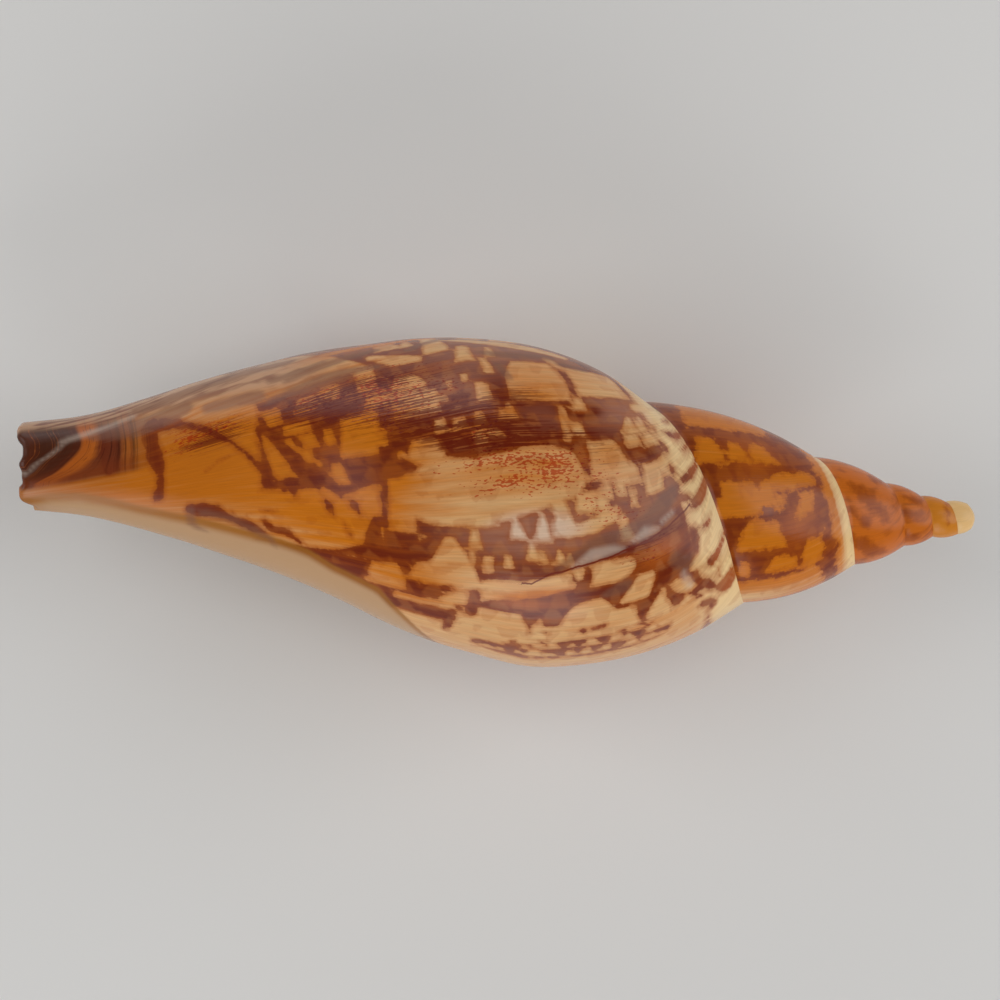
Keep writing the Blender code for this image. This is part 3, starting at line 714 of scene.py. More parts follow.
        (34.5, -1.37, 2.4, 34.2, -1.31, 1.6), (48, -1.36, 1.2, 48, -1.33, 0.6), (50, -1.092, 8, 50, -1, 8),
        (42, -1.47, 12, 42, -1.375, 9),
    )
    brown_strokes: tuple[Table, ...] = (
        ((158.2, 0.005, 1.2), (158.9, -0.03, 1.7), (158.6, -0.06, 1.4), (158, -0.085, 1.6),
         (157.4, -0.11, 1.3), (157, -0.14, 0.8), (156.8, -0.165, 0.9), (157.1, -0.197, 1.1)),
        ((159, -0.012, 1.4), (156.5, -0.012, 1.4), (154, -0.024, 1.2), (152, -0.042, 0.8),
         (149, -0.066, 0.8), (146.5, -0.09, 0.6), (144, -0.112, 0.5), (141, -0.146, 0.5),
         (139, -0.172, 0.6), (136.8, -0.19, 0.5), (135, -0.205, 0.5)),
        ((149, -0.153, 0.06), (147, -0.14, 0.08), (144.5, -0.133, 0.08)),
        ((139.3, -0.098, 0.9), (139.4, -0.13, 0.4), (138.3, -0.165, 0.5), (138.6, -0.175, 0.3)),
        ((138.6, -0.106, 0.5), (136.7, -0.122, 0.4), (135, -0.135, 0.5), (133.4, -0.155, 0.6),
         (132.1, -0.17, 0.9), (131.5, -0.185, 0.6)),
        ((133.6, -0.124, 0.5), (132.2, -0.14, 0.5)),
        ((137, -0.192, 0.5), (135, -0.198, 1.3), (132, -0.196, 1.2), (129.5, -0.187, 1.5),
         (127.8, -0.197, 1.2), (126, -0.209, 0.9), (123.5, -0.208, 0.8), (121.5, -0.2, 1),
         (118.5, -0.19, 1.6), (115, -0.187, 1.8), (113.2, -0.19, 1)),
        ((133.8, -0.2, 0.9), (133.2, -0.216, 0.5)), ((129.2, -0.2, 0.8), (128.8, -0.213, 0.2)),
        ((125.5, -0.208, 1), (125.2, -0.22, 0.5)),
        ((128, -0.223, 0.5), (127.2, -0.235, 0.75), (126.3, -0.248, 0.15)),
        ((124.4, -0.221, 0.2), (123.1, -0.231, 0.85), (121.8, -0.246, 0.1)),
        ((119.2, -0.208, 0.3), (118.4, -0.222, 0.6), (117.4, -0.243, 0.2), (116.2, -0.285, 0.4)),
        ((124.6, -0.256, 0.25), (124, -0.265, 0.5), (123.3, -0.276, 0.3)),
        ((119.3, -0.25, 1.1), (119.8, -0.285, 1.5)),
        ((129, -0.309, 0.4), (126, -0.307, 0.6), (122, -0.297, 1.3), (119, -0.293, 2.2), (115, -0.292, 2),
         (111.5, -0.287, 2), (109.2, -0.272, 1.4)),
        ((125.5, -0.324, 0.3), (124, -0.325, 0.6), (121.3, -0.33, 1.3), (119.8, -0.335, 0.6)),
        ((138.5, -0.262, 0.6), (137, -0.28, 0.9), (134.5, -0.282, 0.9), (133, -0.293, 0.6),
         (131.5, -0.302, 0.5)),
        ((139, -0.243, 0.25), (136.3, -0.243, 0.15)),
        ((82.5, -0.184, 1.5), (82, -0.196, 1.1), (81.5, -0.21, 0.3)),
        ((103, -0.16, 0.3), (95, -0.158, 0.3), (87, -0.154, 0.3)),
        ((111.8, -0.333, 0.3), (109, -0.333, 0.9), (106, -0.33, 0.9), (105.5, -0.328, 0.5)),
        ((105.5, -0.334, 0.1), (99, -0.328, 0.08)),
        ((97, -0.352, 0.5), (91, -0.35, 1.2), (86, -0.345, 1.9), (81, -0.336, 1), (76, -0.332, 1.2),
         (73.5, -0.333, 1)),
        ((119, -0.35, 0.3), (114, -0.347, 0.4), (110.5, -0.346, 0.9), (107.5, -0.342, 0.7),
         (105.8, -0.338, 0.3)),
        ((101.2, -0.362, 1.3), (101, -0.334, 1.1)), ((83.7, -0.317, 0.4), (83.7, -0.309, 0.4)),
        ((80.8, -0.325, 0.9), (80.8, -0.305, 0.9)), ((81.5, -0.332, 1.7), (81.5, -0.323, 1.6)),
        # the front end and the strip under the glaze
        ((151.6, -0.238, 0.9), (149.5, -0.242, 1.5), (147, -0.245, 1.3), (144.5, -0.26, 0.6),
         (142, -0.27, 0.9), (139.5, -0.283, 1), (137.8, -0.29, 0.5)),
        ((149.6, -0.232, 0.7), (149.5, -0.222, 0.2)), ((146.2, -0.245, 0.8), (145.7, -0.238, 0.2)),
        ((144.2, -0.258, 0.6), (143.8, -0.247, 0.2)), ((141.8, -0.266, 0.6), (141.6, -0.257, 0.2)),
        ((165.4, -0.08, 1.6), (165.5, -0.03, 1.7), (166.2, 0.02, 1.2)),
        # marks on the pale underside
        ((98, -0.42, 1.5), (90, -0.42, 3.2), (80, -0.414, 3.6), (72, -0.414, 3.4), (64, -0.418, 2.2)),
        ((72, -0.395, 1), (67, -0.392, 1.2)), ((104.5, -0.375, 1.4), (104.4, -0.405, 0.5)),
        ((92.3, -0.41, 0.9), (92.3, -0.4, 0.7)), ((87, -0.395, 0.8), (87, -0.383, 0.8)),
        ((81.2, -0.388, 0.8), (79.8, -0.382, 0.9)), ((77.8, -0.381, 0.8), (76, -0.378, 0.8)),
        # soft marks on the first whorls
        ((26, -2.15, 0.5), (24, -2.18, 1.1), (21.5, -2.22, 1.2), (19, -2.27, 0.7)),
        ((21, -2.1, 0.9), (18, -2.13, 0.6)),
        ((28, -2.3, 0.8), (24.5, -2.33, 1.2), (21, -2.38, 1.3), (18.5, -2.42, 0.8)),
        ((26, -2.23, 0.6), (23.5, -2.27, 0.9)), ((25, -2.42, 0.8), (22, -2.46, 0.7)),
        ((17, -2.2, 0.4), (16, -2.25, 0.6)), ((14.5, -3.14, 0.5), (11.5, -3.17, 0.8)),
        ((15, -3.23, 0.7), (12.5, -3.24, 0.8), (10.8, -3.25, 0.5)), ((14, -3.36, 0.8), (11.5, -3.38, 0.5)),
        ((5.9, -4.3, 0.2), (5.9, -4.15, 0.2)),
        # oblique marks near the suture
        ((64.5, -0.178, 0.3), (62, -0.193, 0.7), (59.5, -0.208, 0.6)),
        ((61, -0.215, 0.3), (58, -0.23, 0.7)),
        ((61.5, -0.246, 0.9), (58.5, -0.253, 0.9), (56.5, -0.258, 0.5)),
        ((60, -0.28, 0.8), (57.5, -0.285, 1.2), (55.5, -0.287, 0.8)),
        ((56.3, -0.363, 0.5), (54.5, -0.37, 1), (52.8, -0.37, 0.7)),
        ((61.5, -0.372, 0.4), (58.5, -0.385, 0.5), (57, -0.4, 0.4)),
        ((67.5, -0.262, 1), (65.5, -0.255, 1.8), (63.5, -0.248, 1.2)),
        ((65.5, -0.192, 0.5), (64.3, -0.205, 0.6)), ((66.8, -0.17, 0.4), (65.8, -0.178, 0.3)),
        ((63.5, -0.165, 0.3), (61.5, -0.172, 0.5), (59, -0.178, 0.4)),
        ((62.5, -0.262, 0.8), (60.5, -0.27, 0.5)),
        ((60.2, -0.305, 0.8), (59, -0.32, 1), (58.8, -0.335, 0.6)), ((62, -0.37, 0.5), (59.8, -0.39, 0.7)),
        ((58.5, -0.39, 0.6), (56.8, -0.4, 0.4)), ((54.5, -0.43, 0.5), (53, -0.45, 0.4)),
        ((54, -0.39, 0.35), (53.2, -0.405, 0.4)),
        ((53.5, -0.415, 0.5), (51.5, -0.43, 1.3), (50, -0.445, 0.9)),
        ((57.5, -0.375, 0.4), (55.8, -0.39, 0.9), (54.5, -0.405, 0.7)),
        ((58, -0.312, 0.4), (56.2, -0.322, 0.6)),
        ((56.5, -0.415, 0.5), (54.8, -0.425, 0.8), (53.2, -0.44, 0.5)),
        ((64.2, -0.222, 0.5), (63.2, -0.234, 0.6)),
    )
    # Painted highlights, milky white streaks of reflected light along ridges, and grey marks, the one beside
    # the crack's ridge being painted shade: strokes like the brown ones
    highlight_strokes: tuple[Table, ...] = (
        ((83.7, -0.301, 0.4), (80, -0.2905, 1.3), (76.5, -0.288, 1), (74, -0.289, 0.3)),
        ((72.6, -0.284, 0.3), (70, -0.278, 1.1), (67.4, -0.279, 0.4)),
        ((66.4, -0.274, 0.5), (64.4, -0.27, 0.5)), ((61.5, -0.345, 0.5), (59.5, -0.37, 0.6)),
        ((174, 0.04, 0.3), (168, 0.045, 0.5), (161, 0.05, 0.4)),
        ((172.5, 0.045, 0.25), (174, 0.025, 0.25), (177, -0.01, 0.2), (180.5, -0.05, 0.1)),
    )
    # Grey marks; the first, along the crack beside its painted highlight, is painted shade
    grey_strokes: tuple[Table, ...] = (
        ((86.5, -0.302, 0.8), (80, -0.28, 1.4), (75, -0.277, 1.8), (70, -0.268, 1.5), (66, -0.257, 2.2),
         (64, -0.25, 1.4)),
        ((77, -0.337, 0.9), (73.3, -0.33, 1.6)), ((97, -0.061, 1), (90, -0.065, 1.7), (84, -0.064, 1.2)),
        ((83, -0.076, 0.9), (78, -0.08, 1)), ((63.5, -0.32, 1.2), (60.5, -0.34, 1.3)),
        ((95, -0.085, 1.2), (93.6, -0.105, 0.7)), ((110, -0.03, 1), (103, -0.012, 1.2), (95, -0.02, 0.8)),
        ((168, 0.03, 1.2), (161, 0.01, 2), (152, 0.004, 1.6)), ((148, -0.02, 1.2), (139, -0.035, 1.7)),
        ((136, -0.01, 0.9), (126, -0.012, 1.3)), ((160, 0.07, 1.4), (144, 0.05, 2), (131, 0.03, 1.2)),
        ((137, -0.052, 0.8), (130, -0.045, 1.2), (123, -0.043, 1.4), (117, -0.05, 0.9)),
        ((133, -0.022, 0.9), (125, -0.016, 1.4), (116, -0.012, 1.2)),
        ((151.2, -0.245, 0.9), (150.8, -0.28, 0.8), (149.5, -0.3, 0.5), (147.5, -0.31, 0.2)),
        ((149, -0.25, 0.8), (144, -0.265, 0.8), (139, -0.29, 0.9), (136.5, -0.305, 0.5),
         (135.5, -0.325, 0.2)),
    )
    # The crack (along, line), its ends, and how fast it stops past them
    crack_line: Table = (
        (96, -0.318), (94, -0.3175), (91.5, -0.3185), (88, -0.307), (84, -0.303), (80, -0.298),
        (75, -0.2925), (70, -0.2875), (65, -0.282), (62, -0.278), (59.5, -0.277), (55, -0.277),
    )
    crack_ends: Pair = (60, 93.5)
    crack_stop: float = 9.0

    # Soft clouds: (along, line, reach along, reach in turns, amount)
    warm_clouds: Table = (
        (150, -0.14, 26, 0.12, 0.85), (123, -0.2, 13, 0.12, 0.75), (111, -0.2, 7, 0.07, -0.1),
        (95, -0.16, 14, 0.02, 0.35), (89, -0.11, 9, 0.04, 0.35), (95, -0.208, 12, 0.014, 0.35),
        (78, -0.2, 5, 0.02, 0.3), (112, 0.01, 18, 0.012, 0.9), (112, -0.33, 8, 0.04, 0.35),
        (46, -1.2, 30, 0.5, 0.9), (46, -1.43, 12, 0.03, -0.8), (90, -0.197, 7, 0.01, 0.15),
        (89, -0.336, 7, 0.012, 0.9),
    )
    # Dull clouds: a greyish-purple bloom, partly the shell's tone and partly painted sheen; negative amounts
    # clear it
    dull_and_sheen_clouds: Table = (
        (95, -0.06, 17, 0.035, 0.7), (132, 0, 28, 0.045, 0.5), (91, -0.262, 15, 0.03, 1.3),
        (66, -0.23, 7, 0.08, 0.45), (85, -0.44, 26, 0.04, 0.6), (68, -0.155, 7, 0.03, 0.6),
        (104, -0.105, 6, 0.02, 0.4), (60, -0.33, 5, 0.05, 0.3), (66, -0.305, 7, 0.022, -1.1),
        (80.5, -0.144, 4, 0.008, -1.2), (70, -0.195, 3, 0.016, -0.8), (92, -0.342, 8, 0.008, -0.7),
        (82, -0.193, 2, 0.02, -0.7), (76, -0.14, 5, 0.02, 0.5), (84, -0.15, 14, 0.02, 0.4),
        (126, -0.15, 8, 0.03, -0.35), (116, -0.2, 6, 0.03, -0.3), (104, -0.13, 7, 0.015, -0.35),
        (42, -1.43, 12, 0.03, 0.8), (46, -1.15, 5, 0.04, -0.5), (38, -1.28, 4, 0.05, -0.4),
        (44, -1.24, 3, 0.015, 0.9),
    )
    pit_clouds: Table = (
        (97, -0.194, 10, 0.011, 1), (95, -0.218, 8, 0.009, 1), (88, -0.202, 7, 0.016, 0.9),
        (112, -0.11, 8, 0.03, 0.8), (101, -0.165, 5, 0.014, 0.8), (119, -0.08, 8, 0.03, 0.9),
        (131, -0.075, 6, 0.02, 0.8), (152, -0.075, 3, 0.03, 1.1), (147, -0.075, 4, 0.02, 1),
        (77, -0.25, 6, 0.015, 0.6), (80, -0.215, 5, 0.02, 0.5), (70, -0.29, 5, 0.02, 0.5),
    )
    line_clouds: Table = (
        (116, -0.095, 13, 0.04, 1.1), (101, -0.15, 14, 0.024, 1), (97, -0.174, 10, 0.011, 1.2),
        (92, -0.12, 8, 0.02, 0.4), (84, -0.168, 5, 0.006, 0.8), (108, -0.145, 8, 0.014, 0.5),
        (130, -0.09, 9, 0.03, 0.8), (77, -0.19, 7, 0.03, 0.5), (148, -0.085, 7, 0.03, 1),
        (68, -0.29, 8, 0.03, 0.7),
    )
    # The glaze's edge (along, line), its softness in millimetres, and where it starts
    glaze_edge: Table = (
        (184, -0.19), (180, -0.17), (175, -0.155), (170, -0.17), (165, -0.2), (160, -0.232), (155, -0.255),
        (150, -0.272), (145, -0.286), (140, -0.298), (135, -0.305), (130, -0.317), (125.6, -0.338),
        (120.5, -0.35), (117.5, -0.357), (112, -0.4), (105, -0.46), (98, -0.56),
    )
    glaze_blend: Pair = (-1.5, 3)
    glaze_along: Pair = (95, 112)

    @staticmethod
    def patch_depth(patch: Values, along: Array, line: Array, girth: Array) -> Array:
        """Depth inside a patch, in millimetres, negative outside.

        From base to tip the middle moves evenly and the half width w falls as v to the power of
        the roundness, where v is the share of the way. The depth is the least of the distances
        to the sides and to the two ends.

        Args:
            patch: base and tip, and the roundness where the sides aren't straight.
            along: distances from the apex.
            line: growth lines.
            girth: millimetres in one turn.

        Returns:
            The depth at each place.
        """
        base_along, base_line, base_half, tip_along, tip_line, tip_half, *rest = patch
        roundness = rest[0] if rest else 1.0
        v = np.clip((line - base_line) / (tip_line - base_line), 0.0, 1.0)
        half = base_half + (tip_half - base_half) * v ** roundness
        side = half - np.abs(along - base_along - (tip_along - base_along) * v)
        ends = np.abs(tip_line - base_line) / 2.0 - np.abs(line - (base_line + tip_line) / 2.0)
        return np.minimum(side, ends * girth)

    def lay(self, depths: Array, patches: Table | list[Values], spots: Spots) -> Array:
        """Adds patches to depths, each on the turns that its growth lines reach.

        Args:
            depths: depths so far.
            patches: the patches.
            spots: the places of the depths.

        Returns:
            The greater depth at each place.
        """
        result = depths.copy()
        for patch in patches:
            low, high = sorted((patch[1], patch[4]))
            reached = (low - self.line_shift[0], high + self.line_shift[1])
            part = slice(*np.searchsorted(spots.turn[:, 0], reached))
            depth = self.patch_depth(patch, spots.along[part], spots.line[part], spots.girth[part])
            result[part] = np.maximum(result[part], depth)
        return result

    def strewn_depth(self, kinds: tuple[Strewn, ...], spots: Spots) -> Array:
        """Depth inside strewn tents that stand by themselves."""
        tents = [tent for kind in kinds for tent in kind.tents()]
        return self.lay(np.full(spots.along.shape, -self.reach), tents, spots)

    @staticmethod
    def stroke_depth(points: Table, spots: Spots) -> Array:
        """Depth inside a stroke, in millimetres: its half width less the distance to its path.

        Args:
            points: along, line and half width at the path's points.
            spots: the places to measure.

        Returns:
            The depth at each place, negative outside.
        """
        depth = np.full(spots.along.shape, -np.inf)
        for (a0, h0, w0), (a1, h1, w1) in zip(points, points[1:]):
            step_along, step_up = a1 - a0, (h1 - h0) * spots.girth
            off_along, off_up = spots.along - a0, (spots.line - h0) * spots.girth
            size = step_along ** 2 + step_up ** 2
            share = np.clip((off_along * step_along + off_up * step_up) / size, 0.0, 1.0)
            distance = np.hypot(off_along - share * step_along, off_up - share * step_up)
            depth = np.maximum(depth, w0 + (w1 - w0) * share - distance)
        return depth

    def strokes_depth(self, strokes: tuple[Table, ...], spots: Spots) -> Array:
        """The greatest depth inside any of the strokes, held within the reach."""
        depths = [self.stroke_depth(stroke, spots) for stroke in strokes]
        return np.clip(np.max(depths, axis=0), -self.reach, self.reach)

    @staticmethod
    def clouds(table: Table, spots: Spots) -> Array:
        """The sum of soft clouds: amount x exp(-(along offset / reach)^2 - (line offset / reach)^2)."""
        total = np.zeros(spots.along.shape)
        for middle, middle_line, reach, reach_line, amount in table:
            along = (spots.along - middle) / reach
            line = (spots.line - middle_line) / reach_line
            total += amount * np.exp(-along ** 2 - line ** 2)
        return total

    def spots(self, turn: Array, row: Array) -> Spots:
        """The places of a grid.

        A growth line is the turn - bend x exp(-fade x row), and on the last whorl it also gains
        the canal's bend x (distance from the apex - start)^2.

        Args:
            turn: turns of growth, shape (n, 1).
            row: rows of the profile, shape (n, m).

        Returns:
            The places, of shape (n, m).
        """
        along, radius = self.coil.profile(turn, row)
        body = turn > self.coil.lip_turn - 1.0
        line = turn - self.suture_bend * np.exp(-self.suture_fade * row)
        line = line + body * self.canal_bend * np.clip(along - self.canal_bend_start, 0.0, None) ** 2
        return Spots(turn, along, line, radius, 2.0 * math.pi * radius,
                     along - self.coil.suture(turn)[0], body)

    def pale_depth(self, spots: Spots) -> Array:
        """Depth inside the pale parts, in millimetres, negative in the brown.

        Pale patches, belts and tents are laid one over another, and then the brown strokes are
        taken out of them. Strewn tents fill what the drawn ones leave out.

        Args:
            spots: the places to measure.

        Returns:
            The depth at each place.
        """
        turn, line, body = spots.turn, spots.line, spots.body
        pale = np.full(spots.along.shape, -self.reach)
        hidden = self.lay(pale, self.hidden_tents.tents(), spots)
        pale = np.where((line > self.drawn_from) & body, pale, hidden)
        for whorl in (1, 2):
            start, end = (float(self.coil.suture(np.array(-whorl + shift))[0]) for shift in self.spire_reach)
            lines = (-whorl + self.spire_lines[0], -whorl + self.spire_lines[1])
            strewn = Strewn(self.spire_seed + whorl, lines, self.spire_pitch, (start, end),
                            (end - start) / self.spire_count, self.spire_height)
            drawn = (line > self.spire_drawn[0]) & (line < self.spire_drawn[1])
            pale = np.where(drawn, pale, self.lay(pale, strewn.tents(), spots))
        plain = (line > self.early_mottled[1]) | (line < self.early_mottled[0])
        pale = np.where((turn < self.early_end) & plain, self.reach, pale)
        pale = self.lay(pale, self.lip_tents.tents(), spots)
        pale = self.lay(pale, self.pale_ground, spots)
        for belt in self.pale_belts:
            pale = np.maximum(pale, self.stroke_depth(belt, spots))
        pale = self.lay(pale, self.tents, spots)
        width, at_radius = self.suture_band
        band = width * spots.radius / at_radius
        pale = np.maximum(pale, np.where(turn > self.early_end, band - spots.from_suture, -self.reach))
        for stroke in self.brown_strokes:
            pale = np.minimum(pale, -self.stroke_depth(stroke, spots))
        pale = self.lay(pale, self.low_tents.tents(), spots)
        return np.clip(pale, -self.reach, self.reach)

    def crack_distance(self, spots: Spots) -> Array:
        """Distance from the crack, in millimetres, growing fast past its ends.

        Args:
            spots: the places to measure.

        Returns:
            The distance at each place, with a sign for its side.
        """
        crack_along, crack = (np.array(column)[::-1] for column in zip(*self.crack_line))
        across = (spots.line - np.interp(spots.along, crack_along, crack)) * spots.girth
        start, end = self.crack_ends
        beyond = np.clip(np.maximum(start - spots.along, spots.along - end), 0.0, None)
        away = np.minimum(np.abs(across), self.reach) + self.crack_stop * beyond + self.reach * ~spots.body
        return np.copysign(away, across)

    def tints(self, spots: Spots) -> dict[str, Array]:
        """How warm, dull (partly painted sheen), pitted and lined the face is: clouds, less warm and dull
        near the suture.

        Args:
            spots: the places to measure.

        Returns:
            The values by layer.
        """
        turn, body, from_suture = spots.turn, spots.body, spots.from_suture
        spire = ~body & (turn > self.early_end)
        warm = self.warmth + self.clouds(self.warm_clouds, spots) + (turn < self.early_end)
        warm = warm - self.body_cooling[0] * body * between(from_suture, *self.body_cooling[1:])
        warm = warm - self.spire_cooling[0] * spire * between(from_suture, *self.spire_cooling[1:])
        # The dull value: a greyish-purple bloom, partly the shell's own tone and partly painted sheen
        dull_and_sheen = self.dullness + self.clouds(self.dull_and_sheen_clouds, spots) - self.spire_clearing * ~body
        dull_and_sheen = dull_and_sheen - self.body_clearing[0] * body * between(from_suture, *self.body_clearing[1:])
        return {
            "warm": np.clip(warm, -1.0, 1.0),
            "dull_and_sheen": np.clip(dull_and_sheen, -1.0, 1.3),
            "pits": np.clip(self.clouds(self.pit_clouds, spots), 0.0, 1.0),
            "lines": np.clip(self.clouds(self.line_clouds, spots), 0.0, 1.3),
        }

    def front(self, spots: Spots) -> dict[str, Array]:
        """The strip beside the lip, the glaze's reach and the growth bands of the front end.

        A band's place is the distance from the apex, less rise x share^2 below the lip, where
        share is the part of the arc's turns that has passed.

        Args:
            spots: the places to measure.

        Returns:
            The values by layer.
        """
        along, line, body = spots.along, spots.line, spots.body
        edge_along, edge = (np.array(column)[::-1] for column in zip(*self.glaze_edge))
        covered = (np.interp(along, edge_along, edge) - line) * spots.girth
        arc = np.clip((self.arc_start - line) / self.arc_turns, 0.0, 1.0) ** 2
        return {
            "strip": between(spots.turn, *self.strip_turns) * between(along, *self.strip_along) * body,
            "glaze": between(covered, *self.glaze_blend) * between(along, *self.glaze_along) * body,
            "canal_bands": body * (along - self.arc_rise * arc * between(along, *self.arc_along)),
        }

    def outside(self, turn: Array, row: Array) -> Array:
        """Chart values of the outer face.

        Args:
            turn: turns of growth, shape (n, 1).
            row: rows of the profile, shape (n, m).

        Returns:
            Values of shape (n, m, 2 + layers).
        """
        spots = self.spots(turn, row)
        values = {
            "pale": self.pale_depth(spots),
            "faint": self.strewn_depth(self.faint_tents, spots),
            "specks": self.strewn_depth(self.speck_tents, spots),
            "crack": self.crack_distance(spots),
            "gloss": self.strokes_depth(self.highlight_strokes, spots),
            "grey": self.strokes_depth(self.grey_strokes, spots),
            "crown": turn + self.coil.whorls,
            **self.tints(spots),
            **self.front(spots),
        }
        chart = [spots.along / CHART_UNIT, spots.line]
        chart += [np.broadcast_to(values[layer], row.shape) for layer in self.layers]
        return np.stack(np.broadcast_arrays(*chart), axis=-1)

    def inside(self, turn: Array, row: Array) -> Array:
        """Chart values of the aperture's lining and of the columella: glazed all over, unmarked.

        Args:
            turn: turns of growth, shape (n, 1).
            row: rows of the profile, shape (n, m).

        Returns:
            Values of shape (n, m, 2 + layers).
        """
        chart = self.outside(turn, row)
        unmarked = {"glaze": 1.0, "crack": self.reach, "gloss": -self.reach, "grey": -self.reach}
        for layer, value in unmarked.items():
            chart[..., 2 + self.layers.index(layer)] = value
        return chart


@dataclass(frozen=True)
class VoluteShell:
    """The whole shell as one closed mesh, finer than the solid and on the same form."""

    coil: Coil = Coil()
    under_share: float = 0.33       # share of a whorl, from the lip's line on, that faces down
    under_steps: int = 60
    back_steps: int = 240
    early_rows: int = 14            # rows across each of the first whorls
    spire_rows: int = 30            # rows across the last whorl but one
    body_rows: int = 44             # rows across the same part of the last whorl
    front_rows: tuple[int, ...] = (10, 12, 14, 16, 16, 16, 16)
    rim_steps: int = 4
    rounding: float = 0.9           # fullness of the rim over half its thickness
    rounding_turns: float = 0.12    # turns over which it sets in
    rim_blend: int = 12             # columns over which the rim's direction turns
    tip_height: float = 0.8         # rise of the columella's tip
    crown_side: float = 0.75        # turns from the start to the side that the apex leans to
    crown_shift: float = 0.15
    dome_rings: int = 8
    rest_flat: float = 0.3          # height that is pressed flat where the shell rests
    lip_foot_side: float = 12.0     # the lip's foot lies beyond this, towards +Y

    @property
    def steps(self) -> int:
        """Columns of the grid in one whorl."""
        return self.under_steps + self.back_steps

    def turns(self) -> Array:
        """Turns of all columns, closer together on the back than on the underside."""
        under = np.linspace(0.0, self.under_share, self.under_steps, endpoint=False)
        back = np.linspace(self.under_share, 1.0, self.back_steps, endpoint=False)
        whorl = np.concatenate((under, back))
        first = self.coil.lip_turn - self.coil.whorls
        turns = first + (np.arange(self.coil.whorls)[:, None] + whorl[None, :]).reshape(-1)
        return np.append(turns, self.coil.lip_turn)

    def body_profile_rows(self) -> Array:
        """Rows of the last whorl: even steps between the guide points, with the corner among them."""
        coil = self.coil
        ends = [coil.corner_row] + [coil.suture_row + 1.0 + i for i in range(len(self.front_rows))]
        rows = [np.linspace(0.0, coil.suture_row, self.body_rows, endpoint=False),
                np.linspace(coil.suture_row, coil.corner_row, self.rim_steps, endpoint=False)]
        rows += [np.linspace(start, end, count, endpoint=False)
                 for start, end, count in zip(ends, ends[1:], self.front_rows)]
        return np.append(np.concatenate(rows), float(coil.last_row))

    def rim_points(self, outer: Array, inner: Array, outward: Array, swell: Array) -> Array:
        """The rounded edge between two lines of points.

        A point is the middle + half the thickness x cos(a) + outward x swell x sin(a), for
        angles a between 0 and a half turn.

        Args:
            outer: points on the face's edge, shape (n, 3).
            inner: points on the lining's edge, shape (n, 3).
            outward: directions away from the edge, shape (n, 3).
            swell: fullness of the edge over half its thickness, shape (n,).

        Returns:
            Points of shape (n, rim steps - 1, 3).
        """
        half, middle = (outer - inner) / 2.0, (outer + inner) / 2.0
        size = np.linalg.norm(half, axis=-1, keepdims=True) * swell[:, None]
        a = (math.pi * np.arange(1, self.rim_steps) / self.rim_steps)[None, :, None]
        return middle[:, None] + half[:, None] * np.cos(a) + (outward * size)[:, None] * np.sin(a)

    def face(self, markings: Markings, turn: Array, rows: Array) -> tuple[Array, Array]:
        """Points and chart values of the outer face at columns of turns (n, 1) and rows (m,)."""
        grid = np.broadcast_to(rows, (len(turn), len(rows)))
        return self.coil.point(turn, grid), markings.outside(turn, grid)

    def patchwork(self, markings: Markings) -> Patchwork:
        """The closed grid of the shell, standing on its own axis.

        Args:
            markings: gives the chart values of the faces.

        Returns:
            The grid with its chart.
        """
        coil, n, grid = self.coil, self.steps, Patchwork()
        turn = self.turns()[:, None]

        # The early whorls, each starting on the suture row of the whorl before
        early_end = (coil.whorls - 2) * n
        rows = np.linspace(0.0, coil.suture_row, self.early_rows + 1)
        early_points, early_chart = self.face(markings, turn[:early_end + 1], rows)
        early = np.empty(early_points.shape[:2], int)
        early[:, 1:] = grid.add(early_points[:, 1:])
        early[:n, 0] = grid.add(early_points[:n, 0])
        early[n:, 0] = early[:early_end + 1 - n, -1]
        grid.sheet(early, early_chart)

        # The last whorl but one, with more rows
        spire_end = early_end + n
        rows = np.linspace(0.0, coil.suture_row, self.spire_rows + 1)
        spire_points, spire_chart = self.face(markings, turn[early_end + 1:spire_end + 1], rows)
        spire = np.empty(spire_points.shape[:2], int)
        spire[:, 1:] = grid.add(spire_points[:, 1:])
        spire[:, 0] = early[early_end + 1 - n:, -1]
        grid.sheet(spire, spire_chart)
        grid.zip_lines(spire[0], early[-1], spire_chart[0], early_chart[-1])

        # The last whorl, down to the canal's end
        rows = self.body_profile_rows()
        body_turn = turn[spire_end:]
        body_points, body_chart = self.face(markings, body_turn, rows)
        body = np.full(body_points.shape[:2], -1)
        suture, corner = self.body_rows, self.body_rows + self.rim_steps
        body[1:, 0] = spire[:, -1]
        body[0, suture] = spire[-1, -1]
        body[1:, 1:suture + 1] = grid.add(body_points[1:, 1:suture + 1])
        body[:, suture + 1:] = grid.add(body_points[:, suture + 1:])
        grid.sheet(body[1:, :suture + 1], body_chart[1:, :suture + 1])
        grid.sheet(body[:, suture:], body_chart[:, suture:])
        grid.zip_lines(body[1, :suture + 1], spire[-1], body_chart[1, :suture + 1], spire_chart[-1])

        # The columella and the wall of the whorl before, inside the aperture, on half the columns
        start = int(np.searchsorted(body_turn[:, 0], coil.lip_turn - coil.hollow_turns) // 2 * 2)
        hollow = body_turn[start::2, 0]
        share = (rows[corner::2] - coil.corner_row) / (coil.last_row - coil.corner_row)
        core_rows = coil.corner_row + share[None, :] * (coil.seam_row(hollow)[:, None] - coil.corner_row)
        core_points = coil.point((hollow - 1.0)[:, None], core_rows)
        core_chart = markings.inside((hollow - 1.0)[:, None], core_rows)
        core = grid.add(core_points[:-1])
        grid.sheet(core, core_chart[:-1])
        grid.zip_lines(body[0, corner:], core[-1], body_chart[0, corner:], core_chart[-2])

